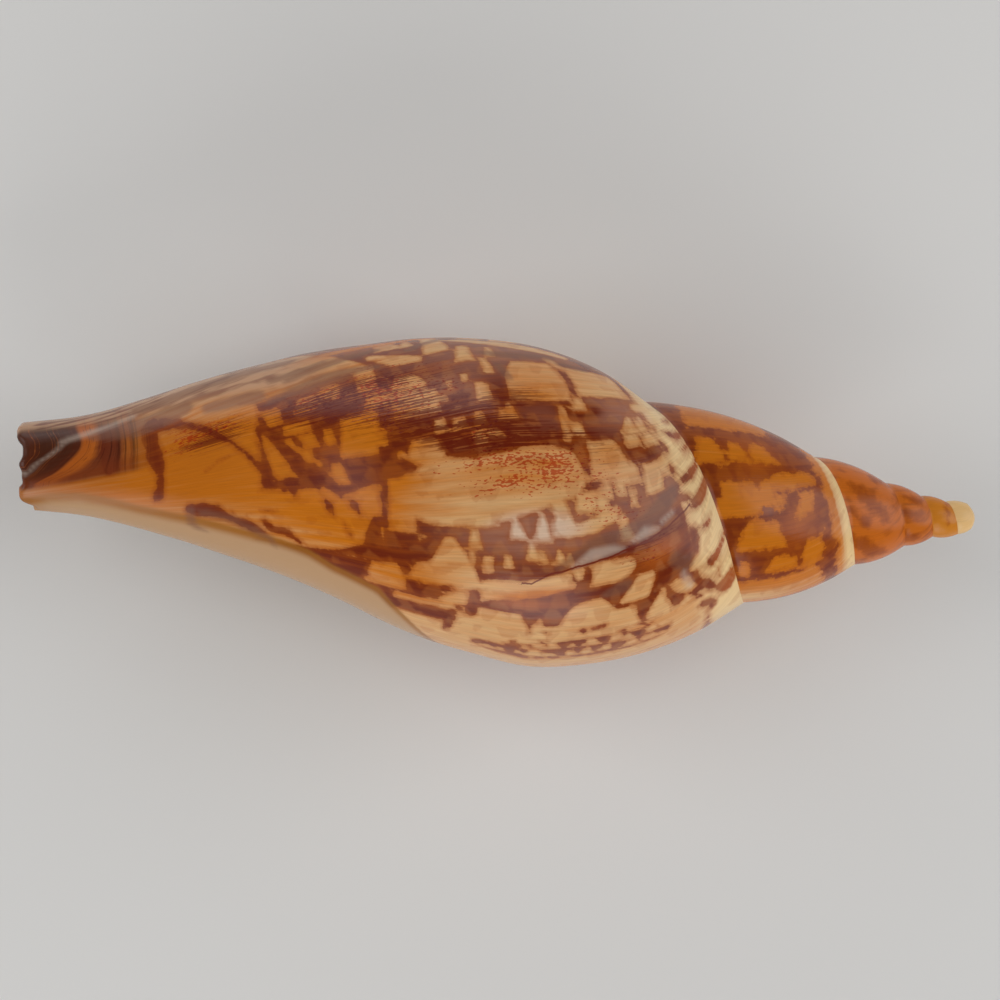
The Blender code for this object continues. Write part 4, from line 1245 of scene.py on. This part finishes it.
        # The inside of the wall
        lining_points = coil.lining(hollow, rows[::2], core_points[:, -1])
        lining_grid = np.broadcast_to(rows[::2], lining_points.shape[:2])
        lining_chart = markings.inside(hollow[:, None], lining_grid)
        lining = grid.add(lining_points)
        lining[:-1, 0] = core[:, 0]
        lining[-1, 0] = body[0, corner]
        closed = int(np.count_nonzero(hollow <= coil.canal_turn))
        lining[:closed, -1] = core[:closed, -1]
        grid.sheet(lining, lining_chart, flip=True)
        grid.zip_lines(core[0], lining[0], core_chart[0], lining_chart[0])

        # The rim of the lip and of the canal
        opening = start + 2 * (closed - 1)
        canal = slice(opening, n)
        seam = coil.point(body_turn[canal] - 1.0, coil.seam_row(body_turn[canal, 0])[:, None])[:, 0]
        lip_inner = coil.lining(body_turn[-1], rows, core_points[-1:, -1])[0]
        canal_inner = coil.lining(body_turn[canal, 0], rows[[0, -1]], seam)[:, -1]
        outer_line = np.concatenate((body_points[-1], body_points[canal, -1][::-1]))
        inner_line = np.concatenate((lip_inner, canal_inner[::-1]))
        forward = body_points[-1] - body_points[-2]
        frontward = (body_points[canal, -1] - body_points[canal, -2])[::-1]
        outward = np.concatenate((forward, frontward))
        outward /= np.linalg.norm(outward, axis=-1, keepdims=True)
        turned = outward.copy()
        for shift in range(1, self.rim_blend + 1):
            turned[shift:] += outward[:-shift]
            turned[:-shift] += outward[shift:]
        turned /= np.linalg.norm(turned, axis=-1, keepdims=True)
        edge_turn = np.concatenate((np.full(len(rows), coil.lip_turn), body_turn[canal, 0][::-1]))
        swell = self.rounding * between(edge_turn, coil.canal_turn, coil.canal_turn + self.rounding_turns)
        rim = grid.add(self.rim_points(outer_line, inner_line, turned, swell))
        rim[0] = body[0, suture + 1:corner]
        edge = np.concatenate((body[-1], body[canal, -1][::-1]))
        edge_chart = np.concatenate((body_chart[-1], body_chart[canal, -1][::-1]))
        rim_chart = np.repeat(edge_chart[:, None], self.rim_steps, axis=1)
        grid.sheet(np.column_stack((edge, rim)), rim_chart, flip=True)
        inner = np.concatenate((lining[-1], lining[closed - 1:-1, -1][::-1]))
        inner_chart = np.concatenate((lining_chart[-1], lining_chart[closed - 1:-1, -1][::-1]))
        grid.zip_lines(inner, rim[:, -1], inner_chart, edge_chart)

        # The tip of the columella
        tip = np.concatenate((body[:opening + 1, -1], rim[-1], core[closed - 1:, -1]))
        tip_chart = np.concatenate((body_chart[:opening + 1, -1],
                                    np.repeat(edge_chart[-1:], self.rim_steps - 1, axis=0),
                                    core_chart[closed - 1:-1, -1]))
        grid.dome(tip[::-1], tip_chart[::-1], (coil.columella_lean[2], 0.0), -self.tip_height,
                  self.dome_rings)

        # The top of the apex
        top = np.concatenate((early[:n, 0], early[0, :0:-1]))
        top_chart = np.concatenate((early_chart[:n, 0], early_chart[0, :0:-1]))
        beside = early_points[np.argmin(np.abs(turn[:n, 0] - turn[0, 0] - self.crown_side)), 0]
        edge_points = np.concatenate((early_points[:n, 0], early_points[0, :0:-1]))
        grid.dome(top, top_chart, tuple(beside[1:] * self.crown_shift), -edge_points[:, 0].mean(),
                  self.dome_rings)
        return grid

    def build(self, markings: Markings, material: bpy.types.Material) -> bpy.types.Object:
        """Makes the shell, laid on its lip and its last whorl, with its apex where the solid's is.

        Args:
            markings: the shell's markings.
            material: its finish.

        Returns:
            The shell's object, riding on the root body in place of the plain solid.
        """
        grid = self.patchwork(markings)
        points = np.concatenate(grid.points)
        lip_side = points[:, 1] > self.lip_foot_side
        floor = max(points[lip_side, 2].min(), points[~lip_side, 2].min()) + self.rest_flat
        low, high = points.min(axis=0), points.max(axis=0)
        points[:, 2] = np.maximum(points[:, 2], floor)
        points -= np.array((high[0] - METRE * CAD_BOX[1].x, (low[1] + high[1]) / 2.0, floor))
        grid.points = [points]
        item = bpy.data.objects.new("volute_shell", grid.mesh("volute_shell", markings.layers))
        item.data.materials.append(material)
        bpy.context.scene.collection.objects.link(item)
        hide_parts("shell")
        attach(item, "root")
        LOG.info("%s: %d faces", item.name, len(item.data.polygons))
        return item


def linear(red: int, green: int, blue: int) -> tuple[float, float, float, float]:
    """The linear colour of a display colour given in 0 to 255."""
    values = np.array((red, green, blue)) / 255.0
    values = np.where(values <= 0.04045, values / 12.92, ((values + 0.055) / 1.055) ** 2.4)
    return (*values.tolist(), 1.0)


@dataclass(frozen=True)
class Wash:
    """A tone laid over others: the values at which it starts and is full, and how much it covers."""

    tone: Tone
    start: float
    full: float
    amount: float = 1.0


@dataclass
class NodeBench:
    """Adds and joins the nodes of one material."""

    tree: bpy.types.NodeTree

    def node(self, kind: str, inputs: dict | None = None, **settings: object) -> bpy.types.Node:
        """Adds a node.

        Args:
            kind: the node's type.
            inputs: by input name or number, a value or an output socket to link.
            settings: properties of the node.

        Returns:
            The node.
        """
        made = self.tree.nodes.new(kind)
        for key, value in settings.items():
            setattr(made, key, value)
        for key, value in (inputs or {}).items():
            if isinstance(value, Socket):
                self.tree.links.new(value, made.inputs[key])
            else:
                made.inputs[key].default_value = value
        return made

    def layer(self, name: str) -> Socket:
        """A number that the mesh carries at its corners."""
        return self.node("ShaderNodeAttribute", attribute_name=name).outputs["Fac"]

    def growth(self) -> Socket:
        """The growth chart: distance from the apex over its unit, and growth line."""
        return self.node("ShaderNodeUVMap", uv_map="growth").outputs["UV"]

    def math(self, operation: str, *values: Input) -> Socket:
        """A math node over one to three values or sockets."""
        return self.node("ShaderNodeMath", dict(enumerate(values)), operation=operation).outputs[0]

    def plus(self, first: Input, second: Input) -> Socket:
        """The sum of two values."""
        return self.math("ADD", first, second)

    def minus(self, first: Input, second: Input) -> Socket:
        """One value less another."""
        return self.math("SUBTRACT", first, second)

    def times(self, first: Input, second: Input) -> Socket:
        """The product of two values."""
        return self.math("MULTIPLY", first, second)

    def scaled(self, value: Input, factor: Input, shift: Input) -> Socket:
        """A value times a factor, plus a shift."""
        return self.math("MULTIPLY_ADD", value, factor, shift)

    def step(self, value: Input, start: float, end: float) -> Socket:
        """The smooth step of a value from 0 at the start to 1 at the end."""
        return self.node("ShaderNodeMapRange", {"Value": value, "From Min": start, "From Max": end},
                         interpolation_type="SMOOTHSTEP").outputs["Result"]

    def noise(self, place: Socket, scale: float, detail: float = 2.0, rough: float = 0.5) -> Socket:
        """Noise from 0 to 1 about one half."""
        inputs = {"Vector": place, "Scale": scale, "Detail": detail, "Roughness": rough}
        return self.node("ShaderNodeTexNoise", inputs).outputs["Fac"]

    def mix(self, factor: Input, first: Input, second: Input, blend: str = "MIX") -> Socket:
        """A mix of two colours."""
        return self.node("ShaderNodeMix", {0: factor, 6: first, 7: second},
                         data_type="RGBA", blend_type=blend).outputs[2]

    def wash(self, colour: Input, value: Input, wash: Wash, share: Input = 1.0) -> Socket:
        """Lays a wash over a colour.

        Args:
            colour: what it covers.
            value: what its start and full value are measured on.
            wash: the wash.
            share: how much of it there is, from 0 to 1.

        Returns:
            The mixed colour.
        """
        cover = self.step(value, wash.start, wash.full)
        for factor in (share, wash.amount):
            if factor != 1.0:
                cover = self.times(cover, factor)
        return self.mix(cover, colour, linear(*wash.tone))

    def ramp(self, value: Input, tones: Ramp) -> Socket:
        """A colour that runs through tones.

        Args:
            value: where to read it, from 0 to 1.
            tones: places from 0 to 1 and their tones.

        Returns:
            The colour.
        """
        made = self.node("ShaderNodeValToRGB", {"Fac": value})
        points = made.color_ramp.elements
        while len(points) < len(tones):
            points.new(0.5)
        for point, (place, tone) in zip(points, tones):
            point.position = place
            point.color = linear(*tone)
        return made.outputs["Color"]


@dataclass(frozen=True)
class ShellFinish:
    """The glossy shell: pale and brown patches, growth streaks, and a glaze near the aperture."""

    roughness: float = 0.2
    pit_roughness: float = 0.06     # how much more in the pits
    specular: float = 0.25
    bump_strength: float = 0.14
    bump_height: float = 0.0003     # of a growth ridge, in metres
    pit_depth: float = 0.3          # of a pit, over a ridge's height
    girth: float = 160.0            # usual millimetres in one turn, for streaks of growth
    # Streaks of growth: usual length and width in millimetres, and octaves of finer noise
    drift_streaks: Triple = (14.0, 1.6, 4.0)
    fine_streaks: Triple = (6.0, 0.35, 2.0)
    mottle_streaks: Triple = (4.0, 6.0, 3.0)
    pit_groups: Triple = (6.0, 1.6, 2.0)
    pit_grains: Triple = (0.9, 0.34, 1.0)
    thread_breaks: Triple = (1.6, 0.4, 1.0)
    thread_groups: Triple = (24.0, 2.4, 2.0)
    thread_streaks: Triple = (14.0, 0.3, 2.0)
    band_waves: Triple = (10.0, 6.0, 2.0)
    strip_streaks: Triple = (12.0, 2.6, 3.0)
    mark_streaks: Triple = (4.0, 1.2, 3.0)
    crack_waves: Triple = (3.0, 40.0, 3.0)
    ridge_streaks: Triple = (25.0, 0.5, 3.0)

    # The ground, by how warm and how dull it is; where dull, the pale gets a painted pinkish sheen and the
    # brown a plum tone that is partly its own and partly painted sheen
    cream: Tone = (222, 176, 122)
    red_brown: Tone = (112, 38, 10)
    rim_orange: Tone = (170, 82, 14)
    orange: Wash = Wash((202, 114, 20), 0.0, 1.0)
    milk: Wash = Wash((234, 198, 142), 0.0, -0.9)
    # painted sheen on the pale parts
    painted_pale_sheen: Wash = Wash((222, 192, 168), 0.7, 1.3, 0.85)
    plum_and_sheen: Wash = Wash((158, 102, 80), 0.0, 1.0)
    tan: Wash = Wash((172, 84, 22), 0.0, -0.9)
    warm_drift: float = 0.9         # how far streaks move the warmth
    tint: Pair = (0.42, 0.81)       # spread and least value of the fine streaks' shade
    # Worn streaks in the brown, and their share: for each pitting, and anywhere
    worn: Wash = Wash(rim_orange, 0.45, 0.7)
    worn_share: Pair = (0.4, 0.3)

    # Edges of the marks, by depth in millimetres: ragged noise (scale, detail, roughness), its size on
    # the whorls before the last (how much more) and on the last, and the turn where that changes
    ragged_noise: Triple = (450.0, 4.0, 0.65)
    ragged_size: Pair = (2.6, 1.2)
    ragged_turns: Pair = (5.15, 5.0)
    ragged_shift: float = 0.2
    fine_shift: float = 0.4
    edge: float = 0.18              # softness of an edge
    rim: Wash = Wash(rim_orange, 0.9, 0.0, 0.55)        # inside a pale patch
    shade: Wash = Wash(rim_orange, -1.0, -0.1, 0.25)    # round it, in the brown
    # Faint tents in the brown (limits, cover, share of orange) and specks in the pale, with their wobble
    wobble_scale: float = 500.0
    faint_limits: Pair = (-0.3, 0.5)
    faint_cover: float = 0.3
    faint_orange: float = 0.65
    speck: Wash = Wash(rim_orange, 0.0, 0.5, 0.22)

    # The first whorls, in turns from the tip: their end, their mottling, tones by share of four turns
    crown_end: Pair = (4.1, 3.9)
    crown_brown: float = 0.4        # how far their tone covers their brown
    crown_softness: float = -0.65   # how far their marks' depths fade
    crown_mottled: Pair = (1.6, 2.4)
    mottle: Wash = Wash(red_brown, 0.48, 0.7, 0.45)
    crown_turns: float = 4.0
    crown_tones: Ramp = (
        (0.0, (232, 190, 132)), (0.35, (230, 186, 122)), (0.38, (206, 130, 38)), (0.58, (200, 114, 32)),
        (0.64, (196, 104, 28)), (1.0, (198, 102, 24)),
    )

    # Pits: share of the groups' noise, limit of the noise (for each pitting, and least), edges, cover
    pit_red: Tone = (222, 134, 110)
    pit_group_share: float = 0.5
    pit_limit: Pair = (-0.21, 0.965)
    pit_edge: Pair = (0.0, 0.05)
    pit_start: Pair = (0.0, 0.2)
    pit_cover: float = 0.9
    # Hair lines: shares of the breaks and groups, and limit of the noise
    line_brown: Wash = Wash((104, 26, 5), 0.0, 0.05, 0.85)
    break_share: Pair = (0.3, -0.15)
    group_share: float = 0.5
    line_limit: Pair = (-0.19, 0.9)

    # The front end, by place along its growth bands: reach and cover of the rust over the ground
    rust: Tone = (124, 52, 20)
    full_rust: Triple = (160.0, 176.0, 0.4)
    slight_rust: Triple = (126.0, 156.0, 0.2)
    # Its bands: tones by place, waves (spread, shift), reach (by place, by growth line) and cover
    band_range: Pair = (155.0, 185.0)
    band_tones: Ramp = (
        (158.0, (160, 88, 32)), (163.0, (158, 84, 30)), (164.0, (112, 52, 28)), (167.0, (100, 38, 18)),
        (168.0, (178, 90, 22)), (170.0, (172, 84, 20)), (170.8, (66, 12, 4)), (177.0, (52, 9, 4)),
        (184.0, (98, 32, 8)),
    )
    band_wave: Pair = (1.2, -0.6)
    band_start: Pair = (157.5, 162.5)
    band_lines: Pair = (-0.125, -0.1)
    line_wave: float = 0.012
    band_cover: float = 0.92
    band_rust: Wash = Wash(rust, -0.04, -0.1, 0.6)
    # Fine lines in the bands: the noise (scale, detail, roughness), its wave, its shifts and their washes
    band_noise: Triple = (0.9, 4.0, 0.75)
    band_noise_wave: float = 0.3
    band_streaks: tuple[tuple[float, Wash], ...] = (
        (3.0, Wash((56, 16, 8), 0.5, 0.58, 0.7)), (11.0, Wash((172, 88, 34), 0.56, 0.62, 0.45)),
        (23.0, Wash((30, 12, 12), 0.58, 0.64, 0.6)),
    )
    # The strip beside the lip: its tones, how far faint tents and its end move them, and its cover
    strip_tan: Tone = (196, 154, 122)
    strip_grey: Wash = Wash((140, 98, 82), 0.42, 0.68)
    strip_faint: float = -0.07
    strip_end: Triple = (1.76, 1.79, -0.3)
    strip_cover: float = 0.85
    # The glaze: its edge, itself, and its wear towards the front end
    ochre: Wash = Wash((156, 96, 24), 0.0, 0.25, 0.85)
    glaze_cream: Wash = Wash((190, 150, 110), 0.35, 0.95)
    glaze_wear: Triple = (166.0, 176.0, -0.7)

    # Marks over all: grey marks (the one along the crack's ridge is painted shade), painted highlight and
    # crack, with how far streaks move their depths
    mark_wave: Pair = (1.2, -0.6)
    grey_mark: Wash = Wash((124, 82, 64), -0.6, 0.8, 0.6)
    highlight_wave: float = 0.35
    painted_highlight_white: Wash = Wash((204, 184, 166), -0.7, 0.9, 0.55)
    crack_wave: float = 1.2
    crack_brown: Wash = Wash((112, 30, 6), 0.28, 0.1, 0.9)

    def streaks(self, bench: NodeBench, size: Triple) -> Socket:
        """Noise drawn out along the growth lines.

        Args:
            bench: the material's nodes.
            size: usual length and width in millimetres, and octaves of finer noise.

        Returns:
            Values from 0 to 1 about one half.
        """
        length, width, detail = size
        scale = (CHART_UNIT / length, self.girth / width, 1.0)
        place = bench.node("ShaderNodeMapping", {"Vector": bench.growth(), "Scale": scale})
        return bench.noise(place.outputs["Vector"], 1.0, detail)

    def first_whorls(self, bench: NodeBench, crown: Socket) -> Socket:
        """The colour of the first whorls, from the cream tip through yellow to mottled orange."""
        plain = bench.ramp(bench.math("DIVIDE", crown, self.crown_turns), self.crown_tones)
        return bench.wash(plain, self.streaks(bench, self.mottle_streaks), self.mottle,
                          bench.step(crown, *self.crown_mottled))

    def ground(self, bench: NodeBench) -> Socket:
        """The pale and brown patches in their tones.

        Args:
            bench: the material's nodes.

        Returns:
            The colour.
        """
        place = bench.node("ShaderNodeTexCoord").outputs["Object"]
        dull_and_sheen, crown = bench.layer("dull_and_sheen"), bench.layer("crown")
        drift = self.streaks(bench, self.drift_streaks)
        fine = self.streaks(bench, self.fine_streaks)
        warm = bench.plus(bench.layer("warm"), bench.times(bench.minus(drift, 0.5), self.warm_drift))
        pale = bench.wash(linear(*self.cream), warm, self.orange)
        # Painted sheen: where the dull value is high the pale turns pinkish-pearl
        pale = bench.wash(bench.wash(pale, warm, self.milk), dull_and_sheen, self.painted_pale_sheen)
        # The plum wash on the brown is partly the shell's tone and partly painted sheen
        brown = bench.wash(linear(*self.red_brown), dull_and_sheen, self.plum_and_sheen)
        brown = bench.wash(brown, dull_and_sheen, self.tan)
        early = bench.step(crown, *self.crown_end)
        first = self.first_whorls(bench, crown)
        pale = bench.mix(early, pale, first)
        brown = bench.mix(bench.times(early, self.crown_brown), brown, first)
        brown = bench.wash(brown, drift, self.worn, bench.scaled(bench.layer("pits"), *self.worn_share))

        ragged = bench.minus(bench.noise(place, *self.ragged_noise), 0.5)
        spread = bench.scaled(bench.step(crown, *self.ragged_turns), *self.ragged_size)
        depth = bench.plus(bench.scaled(ragged, spread, self.ragged_shift), bench.layer("pale"))
        depth = bench.plus(depth, bench.times(bench.minus(fine, 0.5), self.fine_shift))
        wobble = bench.scaled(bench.noise(place, self.wobble_scale), 1.0, -0.5)
        faint = bench.step(bench.plus(bench.layer("faint"), wobble), *self.faint_limits)
        faint_tone = bench.mix(self.faint_orange, pale, linear(*self.rim_orange))
        brown = bench.mix(bench.times(faint, self.faint_cover), brown, faint_tone)
        pale = bench.wash(pale, bench.plus(bench.layer("specks"), wobble), self.speck)
        pale = bench.wash(pale, depth, self.rim)
        brown = bench.wash(brown, depth, self.shade)
        depth = bench.times(depth, bench.scaled(early, self.crown_softness, 1.0))
        colour = bench.mix(bench.step(depth, -self.edge, self.edge), brown, pale)
        tint = bench.scaled(fine, *self.tint)
        grey = bench.node("ShaderNodeCombineColor", {"Red": tint, "Green": tint, "Blue": tint})
        return bench.mix(1.0, colour, grey.outputs["Color"], "MULTIPLY")

    def wear(self, bench: NodeBench, colour: Socket) -> tuple[Socket, Socket]:
        """Adds reddish pits and fine dark lines.

        Args:
            bench: the material's nodes.
            colour: the ground.

        Returns:
            The colour, and where the surface is pitted.
        """
        pits, lines = bench.layer("pits"), bench.layer("lines")
        grains = bench.scaled(self.streaks(bench, self.pit_groups), self.pit_group_share,
                              self.streaks(bench, self.pit_grains))
        above = bench.minus(grains, bench.scaled(pits, *self.pit_limit))
        pitted = bench.times(bench.step(above, *self.pit_edge), bench.step(pits, *self.pit_start))
        threads = bench.scaled(self.streaks(bench, self.thread_breaks), *self.break_share)
        threads = bench.scaled(self.streaks(bench, self.thread_groups), self.group_share, threads)
        threads = bench.plus(self.streaks(bench, self.thread_streaks), threads)
        above = bench.minus(threads, bench.scaled(lines, *self.line_limit))
        colour = bench.wash(colour, above, self.line_brown, bench.step(lines, 0.0, 1.0))
        red = bench.times(pitted, self.pit_cover)
        return bench.mix(red, colour, linear(*self.pit_red), "MULTIPLY"), pitted

    def bands(self, bench: NodeBench, arc: Socket, wave: Socket, height: Socket) -> Socket:
        """The tones of the front end's growth bands.

        Args:
            bench: the material's nodes.
            arc: place along the bands, in millimetres from the apex.
            wave: how far streaks move it.
            height: the growth line, moved likewise.

        Returns:
            The bands' colour.
        """
        start, end = self.band_range
        place = bench.node("ShaderNodeMapRange", {"Value": bench.plus(arc, wave), "From Min": start,
                                                  "From Max": end})
        tones = bench.ramp(place.outputs["Result"],
                           tuple(((at - start) / (end - start), tone) for at, tone in self.band_tones))
        across = bench.times(wave, self.band_noise_wave)
        for shift, wash in self.band_streaks:
            place = bench.node("ShaderNodeCombineXYZ", {"X": arc, "Y": across, "Z": shift})
            tones = bench.wash(tones, bench.noise(place.outputs["Vector"], *self.band_noise), wash)
        return bench.wash(tones, height, self.band_rust)

    def front(self, bench: NodeBench, colour: Socket) -> Socket:
        """Adds the dark growth bands of the front end, the strip and the glaze over the columella.

        Args:
            bench: the material's nodes.
            colour: the colour so far.

        Returns:
            The new colour.
        """
        arc, glaze = bench.layer("canal_bands"), bench.layer("glaze")
        growth = bench.node("ShaderNodeSeparateXYZ", {"Vector": bench.growth()})
        *reach, cover = self.full_rust
        *slight_reach, slight_cover = self.slight_rust
        slight = bench.times(bench.step(arc, *slight_reach), slight_cover)
        colour = bench.mix(bench.scaled(bench.step(arc, *reach), cover, slight), colour, linear(*self.rust))
        wave = bench.scaled(self.streaks(bench, self.band_waves), *self.band_wave)
        height = bench.plus(growth.outputs["Y"], bench.times(wave, self.line_wave))
        share = bench.times(bench.step(arc, *self.band_start), bench.step(height, *self.band_lines))
        tones = self.bands(bench, arc, wave, height)
        colour = bench.mix(bench.times(share, self.band_cover), colour, tones)

        *reach, darker = self.strip_end
        streaks = bench.scaled(bench.layer("faint"), self.strip_faint,
                               self.streaks(bench, self.strip_streaks))
        streaks = bench.scaled(bench.step(growth.outputs["X"], *reach), darker, streaks)
        strip = bench.wash(linear(*self.strip_tan), streaks, self.strip_grey)
        colour = bench.mix(bench.times(bench.layer("strip"), self.strip_cover), colour, strip)

        *reach, wear = self.glaze_wear
        colour = bench.wash(colour, glaze, self.ochre)
        return bench.wash(colour, glaze, self.glaze_cream, bench.scaled(bench.step(arc, *reach), wear, 1.0))

    def marks(self, bench: NodeBench, colour: Socket) -> Socket:
        """Adds the grey marks, one of them painted shade beside the crack's ridge, the painted white
        highlights and the crack.

        Args:
            bench: the material's nodes.
            colour: the colour so far.

        Returns:
            The new colour.
        """
        # Grey marks, the one along the crack's ridge painted shade; the same streaks also move the painted
        # highlight
        wave = bench.scaled(self.streaks(bench, self.mark_streaks), *self.mark_wave)
        colour = bench.wash(colour, bench.plus(bench.layer("grey"), wave), self.grey_mark)
        # Painted highlight: milky white where light glints off ridges
        gloss = bench.scaled(wave, self.highlight_wave, bench.layer("gloss"))
        colour = bench.wash(colour, gloss, self.painted_highlight_white)
        wave = bench.times(bench.minus(self.streaks(bench, self.crack_waves), 0.5), self.crack_wave)
        gap = bench.math("ABSOLUTE", bench.plus(bench.layer("crack"), wave))
        return bench.wash(colour, gap, self.crack_brown)

    def material(self) -> bpy.types.Material:
        """Makes the material."""
        item = bpy.data.materials.new("glossy_shell")
        item.use_nodes = True
        tree = item.node_tree
        tree.nodes.clear()
        bench = NodeBench(tree)
        colour, pitted = self.wear(bench, self.ground(bench))
        colour = self.marks(bench, self.front(bench, colour))
        height = bench.minus(self.streaks(bench, self.ridge_streaks), bench.times(pitted, self.pit_depth))
        bump = bench.node("ShaderNodeBump", {"Height": height, "Strength": self.bump_strength,
                                             "Distance": self.bump_height})
        shader = bench.node("ShaderNodeBsdfPrincipled", {
            "Base Color": colour,
            "Roughness": bench.scaled(pitted, self.pit_roughness, self.roughness),
            "Specular IOR Level": self.specular,
            "Normal": bump.outputs["Normal"],
        })
        output = bench.node("ShaderNodeOutputMaterial")
        tree.links.new(shader.outputs["BSDF"], output.inputs["Surface"])
        return item


@dataclass(frozen=True)
class Studio:
    """A pale floor, soft lamps and the camera."""

    floor_half: float = 3.0
    floor_colour: Triple = (0.78, 0.77, 0.75)
    floor_roughness: float = 0.8
    camera_tilt: float = 13.0
    camera_distance: float = 2.058
    camera_reach: float = 20.0
    lens: float = 400.0
    target: Triple = (-0.00045, 0.00043, 0.0243)
    # Place, size and power of each lamp
    lamps: tuple[tuple[str, Triple, float, float], ...] = (
        ("right_lamp", (1.1, 0.15, 0.65), 1.2, 9.5), ("left_lamp", (-1.1, 0.1, 0.7), 1.1, 9.0),
        ("back_lamp", (-0.3, 1.2, 0.1), 0.9, 5.0), ("front_lamp", (0.1, -1.15, 0.45), 0.8, 6.5),
    )
    air_colour: Triple = (0.95, 0.97, 1.0)
    air: float = 0.12

    def floor(self) -> None:
        """A plain matt floor, staged."""
        item = bpy.data.materials.new("floor_paint")
        item.use_nodes = True
        shader = item.node_tree.nodes["Principled BSDF"]
        shader.inputs["Base Color"].default_value = (*self.floor_colour, 1.0)
        shader.inputs["Roughness"].default_value = self.floor_roughness
        mesh = bpy.data.meshes.new("floor")
        s = self.floor_half
        mesh.from_pydata([(-s, -s, 0.0), (s, -s, 0.0), (s, s, 0.0), (-s, s, 0.0)], [], [(0, 1, 2, 3)])
        mesh.materials.append(item)
        ground = bpy.data.objects.new("floor", mesh)
        bpy.context.scene.collection.objects.link(ground)

    def lamp(self, name: str, place: Triple, size: float, power: float) -> None:
        """A square soft lamp that faces the shell.

        Args:
            name: the lamp's name.
            place: where it hangs.
            size: its side.
            power: its strength.
        """
        light = bpy.data.lights.new(name, "AREA")
        light.size = size
        light.energy = power
        item = bpy.data.objects.new(name, light)
        spot = Vector(place)
        item.matrix_world = Matrix.Translation(spot) @ (-spot).to_track_quat("-Z", "Y").to_matrix().to_4x4()
        bpy.context.scene.collection.objects.link(item)

    def camera(self) -> None:
        """A long lens over the shell, tilted towards the canal's end."""
        tilt = math.radians(self.camera_tilt)
        right = Vector((math.cos(tilt), 0.0, math.sin(tilt)))
        up = Vector((0.0, 1.0, 0.0))
        back = right.cross(up)
        view = bpy.data.cameras.new("camera")
        view.lens = self.lens
        view.clip_end = self.camera_reach
        item = bpy.data.objects.new("camera", view)
        turn = Matrix((right, up, back)).transposed()
        place = Vector(self.target) + back * self.camera_distance
        item.matrix_world = Matrix.Translation(place) @ turn.to_4x4()
        bpy.context.scene.collection.objects.link(item)
        bpy.context.scene.camera = item

    def build(self) -> None:
        """Sets up the floor, the lamps, the world and the camera."""
        self.floor()
        for name, place, size, power in self.lamps:
            self.lamp(name, place, size, power)
        world = bpy.data.worlds.new("studio_air")
        world.use_nodes = True
        air = world.node_tree.nodes["Background"]
        air.inputs["Color"].default_value = (*self.air_colour, 1.0)
        air.inputs["Strength"].default_value = self.air
        bpy.context.scene.world = world
        bpy.context.scene.view_settings.view_transform = "Standard"
        self.camera()
        LOG.info("studio: floor, %d lamps and camera", len(self.lamps))


def main() -> None:
    """Builds the shell and its studio."""
    logging.basicConfig(level=logging.INFO, format="%(name)s: %(message)s")
    VoluteShell().build(Markings(), ShellFinish().material())
    Studio().build()


if __name__ == "__main__":
    main()
